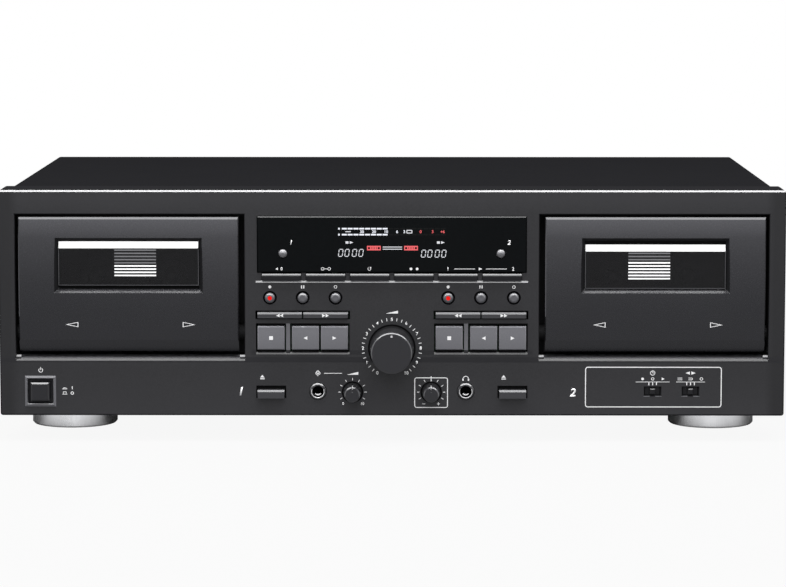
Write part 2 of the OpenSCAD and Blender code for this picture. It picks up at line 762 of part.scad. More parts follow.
module jack_sockets() color(DARK) at_face() for (s = DECKS) translate([s * jack_x, 0, jack_z]) difference() {
    union() {
        rod(jack_nose / 2, -0.1, panel_wall + eps);
        taper(jack_nose / 2 - 0.7, jack_nose / 2, -0.8, -0.1);
        translate([0, 0, -6.5]) block(13, 13, panel_wall, 26);
    }
    rod(jack_bore / 2, -2, 22);
}

// Cassette wells and drives

module mechanism_frames() color(DARK) for (s = DECKS) at_deck(s) {
    difference() {
        union() {
            difference() {
                translate([cheek_in - well_wall, panel_wall, bay_z - well_wall])
                    cube([bay_w + 2 * well_wall, well_rear - panel_wall, bay_h + 2 * well_wall]);
                translate([cheek_in, panel_wall - eps, bay_z])
                    cube([bay_w, well_depth - panel_wall + eps, bay_h]);
            }
            hinge_boss(-holder_half - pin_gap, cheek_in - eps);
            hinge_boss(holder_half + pin_gap, cheek_out + eps);
            for (t = DECKS) {
                translate([t * hub_pitch / 2, 0, hub_z]) {
                    rod(2.6, well_depth - 0.7, well_depth + eps);
                    rod(axle_d / 2, 13.2, well_depth + eps);
                }
                translate([t * capstan_x, 0, capstan_z]) rod(3.4, well_depth - 0.8, well_depth + eps);
                translate([t * guide_x, 0, guide_z]) {
                    rod(guide_d / 2 + 1.6, plate_depth + plate_t + plate_gap, well_depth + eps);
                    rod(guide_d / 2, plate_depth - 1, well_depth);
                    rod(guide_d / 2 + 1.2, plate_depth - plate_gap - 1.4, plate_depth - plate_gap);
                }
            }
            sight_plate(s < 0 ? lens_play : 0);
        }
        translate([cheek_in - 5, hinge_depth, hinge_z]) rotate([0, 90, 0])
            cylinder(r = hinge_d / 2 + turn_fit, h = bay_w + 10);
        for (t = DECKS) translate([t * capstan_x, 0, capstan_z]) rod(capstan_d / 2 + turn_fit, 20, 40);
    }
}

module hinge_boss(from, to) translate([min(from, to), hinge_depth, hinge_z])
    rotate([0, 90, 0]) cylinder(r = hinge_d / 2 + 2.2, h = abs(to - from));

// Ribbed plate between the reels, seen through the window
module sight_plate(rise) translate([0, 0, sight_z + rise]) {
    block(sight_w, sight_h, well_depth - 0.6, well_depth + eps);
    for (i = [0:13]) translate([0, 0, 0.6 + i * sight_h / 14.6])
        block(sight_w - 0.6, 0.95, well_depth - 1.1, well_depth);
}

module tape_drives() color(GREY) for (s = DECKS) at_deck(s) {
    difference() {
        union() {
            translate([brace_in, brace_depth, bay_z - well_wall])
                cube([brace_out - brace_in, brace_t, bay_h + 2 * well_wall]);
            for (x = [brace_in + 5, brace_out - 5]) for (z = brace_posts)
                translate([x, 0, z]) rod(3, well_rear, brace_depth + eps);
        }
        for (t = DECKS) translate([t * capstan_x, 0, capstan_z]) rod(capstan_d / 2 + turn_fit, 30, 90);
        translate([0, 0, motor_z]) rod(6, 30, 90);
    }
    for (t = DECKS) translate([t * capstan_x, 0, capstan_z]) {
        rod(capstan_d / 2, 12, brace_depth + brace_t);
        rod(wheel_r, wheel_depth, wheel_depth + wheel_t);
        rod(4, wheel_depth - 1, wheel_depth + wheel_t + 2);
    }
    along_depth(wheel_depth + 1.5, wheel_depth + 4.5) difference() {
        belt_line(0.9);
        belt_line(0.2);
    }
    translate([0, 0, motor_z]) {
        rod(pulley_r, wheel_depth, wheel_depth + wheel_t);
        rod(1.2, wheel_depth + 1, brace_depth + 3);
        rod(motor_r, brace_depth + brace_t + 0.05, brace_depth + brace_t + 22);
    }
}

module belt_line(grow) hull() {
    for (t = DECKS) translate([t * capstan_x, capstan_z]) circle(r = wheel_r + grow);
    translate([0, motor_z]) circle(r = pulley_r + grow);
}

// Doors

// Outline of a door in depth and height, before its face is bowed
module door_outline() difference() {
    translate([-5, 0]) square([door_skirt + 5, door_h]);
    polygon([
        [-9, -2], [chin_set + 2 * chin_slope, -2],
        [chin_set - 2 * chin_h * chin_slope, 2 * chin_h], [-9, 2 * chin_h]
    ]);
    translate([door_set, door_h - door_top_bevel]) polygon([
        [-9, -2], [-2 * top_slope, -2],
        [(door_top_bevel + 1) * top_slope, door_top_bevel + 1], [-9, door_top_bevel + 1]
    ]);
}

// The bow of a door's face turns about a far axis behind it, and its side edges are bevelled along the bow.
module door_bowed() translate([0, door_set - door_bow + door_rad, door_h / 2]) rotate([0, 90, 0]) {
    middle = door_w - 2 * door_side_bevel;
    cylinder(r = door_rad, h = middle, center = true, $fn = 900);
    for (t = [0, 1]) mirror([0, 0, t]) translate([0, 0, middle / 2])
        cylinder(r1 = door_rad, r2 = door_rad - door_side_bevel, h = door_side_bevel, $fn = 900);
}

module door_panel(s) color(PANEL) at_deck(s) translate([door_x, 0, door_z]) difference() {
    intersection() {
        along_width(door_w) door_outline();
        door_bowed();
    }
    translate([0, 0, chin_h + 1.6])
        block(door_w - 2 * door_side, door_h - chin_h - 1.6 - door_side, door_back, door_skirt + eps);
    translate([0, 0, window_z]) flared_cut(window_w, window_h, door_set - door_bow, door_back, window_bevel);
}

// The left lens sits high in its window and the right one low.
module door_window(s) color(GLASS) at_deck(s)
    translate([door_x, 0, door_z + window_z + key_gap + (s < 0 ? lens_play : 0)]) {
        along_width(window_w - 2 * key_gap) polygon([
            [door_back + eps, 0], [pane_front, 0], [pane_front, pane_h - band_h],
            [door_back, pane_h], [door_back + eps, pane_h]
        ]);
        translate([0, 0, -3]) block(window_w + 5, pane_h + 6, door_back, door_back + lens_t);
    }

module cassette_holder(s) color(DARK) at_deck(s) {
    top = door_z + door_h - 0.5;
    low = cassette_z - cassette_play - holder_wall;
    difference() {
        translate([0, 0, low]) block(2 * holder_half, top - low, door_skirt, space_front);
        translate([door_x, 0, door_z + window_z - 5])
            block(window_w + 8, window_h + 10, 0, space_front + eps);
        translate([0, 0, low - 1]) block(2 * shelf_in, 6, 0, space_front + eps);
    }
    for (t = DECKS) {
        translate([t * (holder_half - holder_wall / 2), 0, low])
            block(holder_wall, 60, door_skirt, space_back + holder_wall);
        translate([t * (holder_half - 2.5), 0, low]) block(5, 60, space_back, space_back + holder_wall);
        translate([t * (holder_half + shelf_in) / 2, 0, low])
            block(holder_half - shelf_in, holder_wall, door_skirt, space_back + holder_wall);
        translate([t > 0 ? holder_half - eps : -holder_half - pin_len, hinge_depth, hinge_z])
            rotate([0, 90, 0]) cylinder(r = hinge_d / 2, h = pin_len + eps);
    }
}

// Reels and heads

module reel() color(DARK) difference() {
    union() {
        rod(8, plate_depth - 0.2, well_depth - 1);
        rod(4.2, 13.4, plate_depth);
        taper(2.4, 4.2, 11.8, 13.4);
        for (a = [0, 120, 240]) rotate([0, a, 0]) translate([3, 13.6, -0.6]) cube([2.2, 7, 1.2]);
    }
    rod(axle_d / 2 + turn_fit, 12.8, well_depth);
}

module head_plate(s) color(SILVER) at_deck(s) {
    difference() {
        union() {
            translate([0, 0, plate_z]) block(52, 16.4, plate_depth, plate_depth + plate_t);
            translate([0, 0, plate_z]) block(76, 7.6, plate_depth, plate_depth + plate_t);
            translate([0, 0, plate_z + 0.6]) block(14, 7.6, 14, plate_depth + eps);
            for (t = DECKS) {
                translate([t * 12, 0, plate_z + 0.6]) block(2, 7.6, 15, plate_depth + eps);
                translate([t * capstan_x, 0, roller_z]) {
                    rod(1, 13.4, plate_depth + eps);
                    rod(1.9, 13, 14.1);
                    rod(2, 21.6, plate_depth + eps);
                }
            }
        }
        for (t = DECKS) translate([t * guide_x, 0, guide_z - head_travel]) {
            block(guide_d + 2 * plate_gap, head_travel, plate_depth - eps, plate_depth + plate_t + eps);
            for (z = [0, head_travel]) translate([0, 0, z])
                rod(guide_d / 2 + plate_gap, plate_depth - eps, plate_depth + plate_t + eps);
        }
    }
    for (t = DECKS) translate([t * capstan_x, 0, roller_z]) difference() {
        rod(roller_d / 2, 14.4, 21.4);
        rod(1 + turn_fit, 14, 22);
    }
}

// Buttons, keys and knobs

module power_button() color(GREY) at_face(-power_x, power_z - power_w / 2) {
    bevelled_block(power_w, power_w, -3.2, 4, 0.8);
    translate([0, 0, (power_w - power_flange) / 2]) block(power_flange, power_flange, 3.4, 4.6);
    translate([0, 0, power_w / 2]) rod(2.4, 4, power_depth - power_travel - 0.4);
}

module clear_button(s) color(SILVER) at_face(s * clear_x, clear_z)
    round_button(clear_d / 2, display_proud + 1.2, panel_wall + 1.3, stem_end);

module function_key(i) color(GREY) at_face(function_at(i), display_z - 0.7 - function_h)
    bar_key(function_w, function_h, function_reach, 1.2, 1, 1.4, 0, stem_end);

module record_or_pause(s, i) color(GREY) at_face(round_at(s, i), round_z)
    round_button(round_d / 2, 1.6, key_back, stem_end);

module wind_key(s, i) color(GREY) at_face(wind_at(s, i), wind_z)
    bar_key(wind_w, wind_h, 2.4, wind_slope, 0, wind_room + 0.5, wind_room + 0.5, stem_end);

module transport_key(s, i) color(GREY) at_face(transport_x(s, i), transport_z) {
    bevelled_block(transport_w, transport_h, -1.4, key_back + eps, 0.5);
    translate([0, 0, -transport_room - 0.6])
        block(transport_w, transport_h + 2 * transport_room + 1.2, key_back, key_back + key_flange);
    translate([0, 0, transport_h / 2]) rod(1.5, key_back, stem_end);
}

module eject_key(s) color(GREY) at_face(s * eject_x, eject_z)
    bar_key(eject_w, eject_h, eject_travel + 0.4, 1, 1.6, 1.6, eject_room + 1, eject_end);

// Knob that narrows from its base to its bevelled front, on a shaft into its potentiometer
module shafted_knob(base, front, reach) {
    difference() {
        union() {
            taper(front, base, -reach + 0.6, -0.5);
            taper(front - 0.6, front, -reach, -reach + 0.6);
        }
        rod(shaft_d / 2 + turn_fit, -reach + 4, 1);
    }
    rod(shaft_d / 2, -reach + 4.2, board_depth - 1);
}

module record_level_knob() color(PANEL) at_face(0, level_z) difference() {
    shafted_knob(level_d / 2, level_d / 2 - 1, knob_reach);
    translate([0, 0, level_d / 2 - 3]) rod(0.7, -knob_reach - eps, eps - knob_reach);
}

module small_knob(s) color(PANEL) at_face(s * small_x, small_z) difference() {
    shafted_knob(small_d / 2, small_d / 2 - 0.9, small_reach);
    translate([0, 0, small_d / 2 - 2.6]) block(0.8, 3, -small_reach - eps, -2);
}

module slide_switch(i) color(DARK) at_face(switch_x + i * switch_pitch, switch_z) {
    translate([0, 0, -1.6]) bevelled_block(2.8, 3.2, -0.2, 4, 0.4);
    translate([0, 0, -3.4]) block(switch_flange, 6.8, key_back, 4.4);
    translate([0, 0, -1.5]) block(3, 3, 4, switch_depth - 0.3);
}

front_panel();
top_cover();
bottom_chassis();
rear_panel();
feet();
case_screws();
line_jacks();
cord_gland();
display_window();
display_tube();
control_board();
main_board();
power_transformer();
jack_sockets();
mechanism_frames();
tape_drives();
power_button();
record_level_knob();
small_knob(-1);  // mic_level_knob
small_knob(1);  // pitch_knob
slide_switch(0);  // timer_switch
slide_switch(1);  // direction_switch
for (i = [0:5]) function_key(i);
for (d = [0:1]) door_panel(DECKS[d]);
for (d = [0:1]) door_window(DECKS[d]);
for (d = [0:1]) cassette_holder(DECKS[d]);
for (d = [0:1]) head_plate(DECKS[d]);
for (d = [0:1]) clear_button(DECKS[d]);
for (d = [0:1]) eject_key(DECKS[d]);
for (d = [0:1]) for (i = [0:1])
    at_reel(DECKS[d], i) reel();
for (d = [0:1]) for (i = [0:2])
    record_or_pause(DECKS[d], i);
for (d = [0:1]) for (i = [0:1])
    wind_key(DECKS[d], i);
for (d = [0:1]) for (i = [0:2])
    transport_key(DECKS[d], i);
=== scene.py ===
"""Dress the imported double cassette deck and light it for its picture.

The fields hold millimetres in the deck's own frame: X to the right, Y to the back, Z up from the
floor. Whatever reaches Blender is in metres.
"""

import logging
import math
from collections.abc import Iterable, Mapping, Sequence
from dataclasses import dataclass, field
from enum import Enum
from typing import Any

import bmesh
import bpy
from bmesh.types import BMVert, BMesh
from bpy.types import ID, Material, Mesh, Node, NodeSocket, NodeTree, Object
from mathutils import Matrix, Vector
from mathutils.bvhtree import BVHTree


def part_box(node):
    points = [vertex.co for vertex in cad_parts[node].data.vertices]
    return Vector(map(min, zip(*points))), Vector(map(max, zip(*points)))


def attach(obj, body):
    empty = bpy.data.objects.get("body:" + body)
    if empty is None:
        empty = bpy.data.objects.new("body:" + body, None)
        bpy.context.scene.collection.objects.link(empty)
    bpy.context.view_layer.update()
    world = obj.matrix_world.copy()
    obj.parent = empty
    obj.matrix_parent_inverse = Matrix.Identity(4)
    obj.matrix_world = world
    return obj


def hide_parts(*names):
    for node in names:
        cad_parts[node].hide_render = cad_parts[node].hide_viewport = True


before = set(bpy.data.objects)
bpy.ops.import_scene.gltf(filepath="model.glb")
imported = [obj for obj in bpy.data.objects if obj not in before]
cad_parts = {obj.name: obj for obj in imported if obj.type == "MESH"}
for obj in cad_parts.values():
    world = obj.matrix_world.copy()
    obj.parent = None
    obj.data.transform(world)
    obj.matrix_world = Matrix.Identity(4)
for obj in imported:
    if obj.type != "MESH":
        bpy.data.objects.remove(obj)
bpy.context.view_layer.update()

LOG = logging.getLogger("deck")
MM = 0.001
FULL_TURN = 360.0
FACE_Y = -123.5
SIDES = {"left": -1, "right": 1}
COAT_IOR = 2.0
COOL_SHEEN = (0.92, 0.925, 1.0)
CREASE = math.radians(35.0)
WHITE = (1.0, 1.0, 1.0)
EVEN = (1.0, 1.0, 1.0)

Colour = tuple[float, float, float]
Triple = tuple[float, float, float]
Point = tuple[float, float]
Figures = tuple[tuple[str, float], ...]
Corner = tuple[float | None, float | None, float | None]


def rgba(colour: Colour) -> tuple[float, float, float, float]:
    """Give a colour its fourth number."""
    return (*colour, 1.0)


def scaled(colour: Colour, factor: float) -> Colour:
    """Make a colour lighter or darker by one factor."""
    return (colour[0] * factor, colour[1] * factor, colour[2] * factor)


def on_circle(centre: Point, radius: float, angle: float) -> Point:
    """Find a point on a circle, at an angle in radians that runs clockwise from the top."""
    return (centre[0] + math.sin(angle) * radius, centre[1] + math.cos(angle) * radius)


def placed(data: ID, name: str) -> Object:
    """Put a mesh, a lamp or a camera in the scene.

    Args:
        data: The mesh, lamp or camera.
        name: The object's name.

    Returns:
        The new object.
    """
    thing = bpy.data.objects.new(name, data)
    bpy.context.scene.collection.objects.link(thing)
    return thing


def baked(shape: BMesh, name: str) -> Mesh:
    """Turn a shape into a mesh.

    Args:
        shape: The shape, which is used up.
        name: The mesh's name.

    Returns:
        The mesh.
    """
    mesh = bpy.data.meshes.new(name)
    shape.to_mesh(mesh)
    shape.free()
    return mesh


# Node graphs


class Sock:
    """An output socket that takes part in Python sums."""

    def __init__(self, graph: "Graph", socket: NodeSocket) -> None:
        """Keep the socket and the graph that it belongs to."""
        self.graph = graph
        self.socket = socket

    def _math(self, operation: str, *values: Any) -> "Sock":
        """Add one Math node.

        Args:
            operation: The node's operation.
            values: Numbers or sockets, in the node's order.

        Returns:
            The node's result.
        """
        node = self.graph.add("ShaderNodeMath", {"operation": operation}, dict(enumerate(values)))
        return Sock(self.graph, node.outputs[0])

    def __add__(self, other: Any) -> "Sock":
        """Add a number or a socket."""
        return self._math("ADD", self, other)

    __radd__ = __add__

    def __sub__(self, other: Any) -> "Sock":
        """Take a number or a socket away."""
        return self._math("SUBTRACT", self, other)

    def __rsub__(self, other: Any) -> "Sock":
        """Be taken away from a number."""
        return self._math("SUBTRACT", other, self)

    def __mul__(self, other: Any) -> "Sock":
        """Multiply by a number or a socket."""
        return self._math("MULTIPLY", self, other)

    __rmul__ = __mul__

    def __truediv__(self, other: Any) -> "Sock":
        """Divide by a number or a socket."""
        return self._math("DIVIDE", self, other)

    def larger(self, other: Any) -> "Sock":
        """Take the larger of two values."""
        return self._math("MAXIMUM", self, other)

    def smaller(self, other: Any) -> "Sock":
        """Take the smaller of two values."""
        return self._math("MINIMUM", self, other)

    def clamped(self) -> "Sock":
        """Hold the value between 0 and 1."""
        return self.larger(0.0).smaller(1.0)

    def past(self, start: float, slope: float) -> "Sock":
        """Rise from 0 to 1 past a value.

        Args:
            start: The value where the rise begins.
            slope: How steep it is.

        Returns:
            The rise, held between 0 and 1.
        """
        return ((self - start) * slope).clamped()

    def sine(self) -> "Sock":
        """Take the sine."""
        return self._math("SINE", self)

    def cosine(self) -> "Sock":
        """Take the cosine."""
        return self._math("COSINE", self)


class Graph:
    """A node tree with one way to add a node."""

    def __init__(self, tree: NodeTree) -> None:
        """Start from an empty tree."""
        self.tree = tree
        self.tree.nodes.clear()

    def add(
        self,
        kind: str,
        settings: Mapping[str, Any] | None = None,
        inputs: Mapping[str | int, Any] | None = None,
    ) -> Node:
        """Add a node, give it its settings and then its inputs.

        Args:
            kind: The node's type.
            settings: The node's own properties.
            inputs: Values or links, by socket name or number.

        Returns:
            The new node.
        """
        node = self.tree.nodes.new(kind)
        for name, value in (settings or {}).items():
            setattr(node, name, value)
        for name, value in (inputs or {}).items():
            socket = value.socket if isinstance(value, Sock) else value
            if isinstance(socket, NodeSocket):
                self.tree.links.new(socket, node.inputs[name])
            else:
                node.inputs[name].default_value = socket
        return node

    def out(self, node: Node, name: str | int = 0) -> Sock:
        """Wrap one output of a node."""
        return Sock(self, node.outputs[name])


class Board(Graph):
    """A material's graph, with the few patterns that the finishes share."""

    def __init__(self, name: str) -> None:
        """Make an empty material and its coordinates.

        Args:
            name: The material's name.
        """
        self.material = bpy.data.materials.new(name)
        self.material.use_nodes = True
        super().__init__(self.material.node_tree)
        self.source = self.add("ShaderNodeTexCoord")
        self.place = self.out(self.source, "Object")
        self._axes: list[Sock] = []

    def axis(self, number: int) -> Sock:
        """Give one coordinate.

        Args:
            number: 0 for X, 1 for Y, 2 for Z.

        Returns:
            The coordinate in metres.
        """
        if not self._axes:
            split = self.add("ShaderNodeSeparateXYZ", None, {0: self.place})
            self._axes = [self.out(split, n) for n in range(3)]
        return self._axes[number]

    def noise(self, size: float, detail: float = 2.0, stretch: Triple = EVEN) -> Sock:
        """Lay a soft noise over the piece.

        Args:
            size: Rough size of one patch in millimetres.
            detail: Finer layers in the noise.
            stretch: How the pattern is squeezed along X, Y and Z.

        Returns:
            The noise, from 0 to 1.
        """
        mapped = self.add("ShaderNodeMapping", None, {"Vector": self.place, "Scale": stretch})
        node = self.add(
            "ShaderNodeTexNoise",
            None,
            {"Vector": mapped.outputs[0], "Scale": 1.0 / (size * MM), "Detail": detail},
        )
        return self.out(node, 0)

    def cells(self, size: float) -> Sock:
        """Lay a fine cell pattern, in millimetres, over the piece."""
        node = self.add("ShaderNodeTexVoronoi", None, {"Vector": self.place, "Scale": 1.0 / (size * MM)})
        return self.out(node, 0)

    def facing(self) -> tuple[Sock, Sock, Sock]:
        """Sort the faces by the way that they point.

        Returns:
            Masks of the upright front faces, of those that slant upwards and of those that slant sideways.
        """
        split = self.add("ShaderNodeSeparateXYZ", None, {0: self.out(self.source, "Normal")})
        forward = self.out(split, 1) * -1.0
        front = forward.past(0.94, slope=50.0)
        slant = forward.past(0.3, slope=10.0) * (1.0 - forward.past(0.96, slope=60.0))
        up = self.out(split, 2)
        rising = (up * 4.0).clamped()
        level = (1.0 - up * up * 20.0).clamped()
        return front, slant * rising, slant * level

    def boxed(self, low: Corner, high: Corner, soft: float = 0.12) -> Sock:
        """Mark the inside of a box.

        Args:
            low: Lowest corner in millimetres, with None where the box is open.
            high: Highest corner in millimetres.
            soft: Width of the edge in millimetres.

        Returns:
            1 inside and 0 outside.
        """
        mask: Sock | None = None
        for number in range(3):
            for edge, sign in ((low[number], 1.0), (high[number], -1.0)):
                if edge is None:
                    continue
                side = ((self.axis(number) - edge * MM) * (sign / (soft * MM)) + 0.5).clamped()
                mask = side if mask is None else mask * side
        if mask is None:
            raise ValueError("a box needs at least one side")
        return mask

    def blend(self, factor: Any, first: Any, second: Any) -> Sock:
        """Mix two colours.

        Args:
            factor: 0 for the first, 1 for the second.
            first: A colour or a socket.
            second: A colour or a socket.

        Returns:
            The mixed colour.
        """
        sides = [rgba(side) if isinstance(side, tuple) else side for side in (first, second)]
        node = self.add("ShaderNodeMix", {"data_type": "RGBA"}, {0: factor, 6: sides[0], 7: sides[1]})
        return self.out(node, 2)

    def bump(self, height: Sock, depth: float) -> Sock:
        """Turn a pattern into relief.

        Args:
            height: The pattern.
            depth: Its depth in millimetres.

        Returns:
            The normal.
        """
        node = self.add("ShaderNodeBump", None, {"Strength": 1.0, "Distance": depth * MM, "Height": height})
        return self.out(node, 0)

    def close(self, inputs: Mapping[str, Any]) -> Material:
        """Add the surface shader and finish the material.

        Args:
            inputs: The shader's own sockets.

        Returns:
            The material.
        """
        shader = self.add("ShaderNodeBsdfPrincipled", None, inputs)
        self.add("ShaderNodeOutputMaterial", None, {"Surface": shader.outputs[0]})
        return self.material


# Finishes

CLOUD_SIZE = 38.0
STAIN_SIZE = 16.0
HAZE_SIZE = 22.0
GLOW_GRAIN = 1.4
DRAWN_DEPTH = 0.006
TRACK_SIZE = 4.2
TRACK_DEPTH = 0.05
SOLDER_SIZE = 2.6
SOLDER_TONE = (0.45, 0.44, 0.42)


@dataclass(frozen=True)
class Patch:
    """A box of a piece with a colour and gloss of its own; many patches carry painted light or shade."""

    low: Corner
    high: Corner
    tone: Colour
    rough: float
    soft: float = 0.12
    edge: float = 1.0


@dataclass(frozen=True)
class Moulded:
    """Moulded plastic or paint with a fine grain and smoother slanting edges, paler partly from wear and
    partly as a painted highlight.
    """

    name: str
    tone: Colour
    rough: float = 0.42
    specular: float = 0.25
    grain: float = 0.4
    depth: float = 0.005
    mottle: float = 0.14
    gloss: float = 0.0
    edge: float = 0.0
    flank: float = 0.0
    wear_and_highlight: float = 1.6
    polish: float = 0.2
    patches: tuple[Patch, ...] = ()

    def make(self) -> Material:
        """Build the material from its grain, its clouding, its edges and its patches.

        Returns:
            The material.
        """
        board = Board(self.name)
        fine = board.noise(self.grain, 3.0)
        cloud = board.noise(CLOUD_SIZE, 2.0)
        front, slant, side = board.facing()
        light = (fine * 0.7 + cloud * 0.3).clamped()
        dark_tone = scaled(self.tone, 1.0 - self.mottle)
        light_tone = scaled(self.tone, 1.0 + self.mottle)
        colour = board.blend(light, dark_tone, light_tone)
        # painted highlight: upward and sideways slanting edges are made paler, on top of a little real wear
        worn_and_lit = (slant + side * self.flank).clamped() * (cloud * 0.7 + 0.2)
        colour = board.blend(worn_and_lit, colour, scaled(self.tone, self.wear_and_highlight))
        rough = (fine - 0.5) * 0.12 + (cloud - 0.5) * 0.08 + self.rough
        coat = (front * self.gloss + slant * self.edge + side * self.flank) * (0.9 + fine * 0.2)
        for patch in self.patches:
            mask = board.boxed(patch.low, patch.high, patch.soft)
            patch_colour = board.blend(light, scaled(patch.tone, 0.9), scaled(patch.tone, 1.1))
            colour = board.blend(mask, colour, patch_colour)
            rough = rough + mask * ((fine - 0.5) * 0.1 + patch.rough - rough)
            coat = coat * (1.0 - mask * (1.0 - patch.edge))
        return board.close(
            {
                "Base Color": colour,
                "Roughness": rough.clamped(),
                "Specular IOR Level": self.specular,
                "Specular Tint": rgba(COOL_SHEEN),
                "Coat Weight": coat.clamped(),
                "Coat Roughness": self.polish,
                "Coat IOR": COAT_IOR,
                "Normal": board.bump(fine, self.depth),
            }
        )


@dataclass(frozen=True)
class Metal:
    """Bare or plated metal with a drawn grain along one axis."""

    name: str
    tone: Colour
    rough: float = 0.3
    metallic: float = 1.0
    stretch: Triple = (0.04, 1.0, 1.0)
    grain: float = 0.3
    patches: tuple[Patch, ...] = ()
    specular: float = 0.5

    def make(self) -> Material:
        """Build the material from its drawn lines, its stains and its patches.

        Returns:
            The material.
        """
        board = Board(self.name)
        lines = board.noise(self.grain, 2.0, self.stretch)
        stain = board.noise(STAIN_SIZE, 3.0)
        light = (lines * 0.6 + stain * 0.4).clamped()
        colour = board.blend(light, scaled(self.tone, 0.84), scaled(self.tone, 1.1))
        rough = (lines - 0.5) * 0.16 + (stain - 0.5) * 0.12 + self.rough
        metallic: Any = self.metallic
        for patch in self.patches:
            mask = board.boxed(patch.low, patch.high, patch.soft)
            patch_colour = board.blend(light, scaled(patch.tone, 0.88), scaled(patch.tone, 1.12))
            colour = board.blend(mask, colour, patch_colour)
            rough = rough + mask * ((stain - 0.5) * 0.1 + patch.rough - rough)
            metallic = (1.0 - mask) * metallic
        return board.close(
            {
                "Base Color": colour,
                "Roughness": rough.clamped(),
                "Metallic": metallic,
                "Specular IOR Level": self.specular,
                "Normal": board.bump(lines, DRAWN_DEPTH),
            }
        )


@dataclass(frozen=True)
class Smoked:
    """Clear or smoked plastic that shows what is behind it."""

    name: str
    tone: Colour
    cover: float
    rough: float = 0.06
    specular: float = 0.5

    def make(self) -> Material:
        """Build the material with a faint haze.

        Returns:
            The material.
        """
        board = Board(self.name)
        haze = board.noise(HAZE_SIZE, 1.0)
        colour = board.blend(haze, scaled(self.tone, 0.9), scaled(self.tone, 1.1))
        rough = (haze - 0.5) * 0.03 + self.rough
        alpha = (haze - 0.5) * 0.02 + self.cover
        return board.close(
            {
                "Base Color": colour,
                "Roughness": rough.clamped(),
                "Alpha": alpha.clamped(),
                "Specular IOR Level": self.specular,
            }
        )


@dataclass(frozen=True)
class Glow:
    """Lit display segments and meter bars, and lens bands and sight bars that glow as painted light."""

    name: str
    tone: Colour
    strength: float = 1.0
    body: float = 0.12

    def make(self) -> Material:
        """Build the material with slightly uneven light over a paler or darker body.

        Returns:
            The material.
        """
        board = Board(self.name)
        uneven = board.noise(GLOW_GRAIN, 2.0)
        light = board.blend(uneven, scaled(self.tone, 0.86), self.tone)
        return board.close(
            {
                "Base Color": rgba(scaled(self.tone, self.body)),
                "Roughness": 0.5,
                "Specular IOR Level": 0.06,
                "Emission Color": light,
                "Emission Strength": self.strength,
            }
        )


@dataclass(frozen=True)
class Circuit:
    """A printed circuit board with its tracks and solder points."""

    name: str
    tone: Colour

    def make(self) -> Material:
        """Build the material from wide and narrow tracks.

        Returns:
            The material.
        """
        board = Board(self.name)
        tracks = board.cells(TRACK_SIZE)
        points = board.cells(SOLDER_SIZE)
        lanes = tracks.past(0.42, slope=9.0)
        solder = ((0.16 - points) * 14.0).clamped()
        colour = board.blend(lanes, self.tone, scaled(self.tone, 1.7))
        colour = board.blend(solder, colour, SOLDER_TONE)
        return board.close(
            {
                "Base Color": colour,
                "Roughness": 0.46 - solder * 0.2,
                "Metallic": solder * 0.8,
                "Normal": board.bump(lanes + solder, TRACK_DEPTH),
            }
        )


PANEL_TONE = (0.0258, 0.0258, 0.0283)
PANEL_PAINTED_LIGHT = (0.0315, 0.0315, 0.0346)
RIM_SHADE = (0.0168, 0.0168, 0.0183)
PANEL_SIDE_SHADE = (0.0196, 0.0196, 0.0215)
HOLE_SHADE = (0.0071, 0.0071, 0.0078)
LEDGE_PAINTED_LIGHT = (0.1704, 0.1704, 0.1846)
KEY_TONE = (0.1392, 0.1392, 0.1519)
KEY_SHADE = (0.0994, 0.0994, 0.1093)
DARK_KEY_TONE = (0.0057, 0.0057, 0.0062)
BEZEL_TONE = (0.142, 0.142, 0.1534)
BEZEL_SILL_HIGHLIGHT = (0.5, 0.5, 0.52)
WELL_TONE = (0.017, 0.017, 0.0177)
DOOR_TONE = (0.0071, 0.0071, 0.0082)
DOOR_MIDDLE_LIGHT = (0.0155, 0.0155, 0.0171)
DOOR_TOP_LIGHT = (0.088, 0.088, 0.096)
DOOR_CHIN_SHADE = (0.0054, 0.0054, 0.0062)
RUBBER_BLACK = (0.02, 0.02, 0.02)
PITCH_BLACK = (0.0015, 0.0015, 0.0015)
DOOR_EDGE_HIGHLIGHT = (0.0781, 0.0781, 0.0852)
TOP_EDGE_HIGHLIGHT = (0.23, 0.23, 0.24)
OPEN: Corner = (None, None, None)
# painted shade: the keys are black behind the panel's face
KEY_BACK_SHADE = Patch((None, -121.2, None), OPEN, PITCH_BLACK, 0.9, edge=0.0)


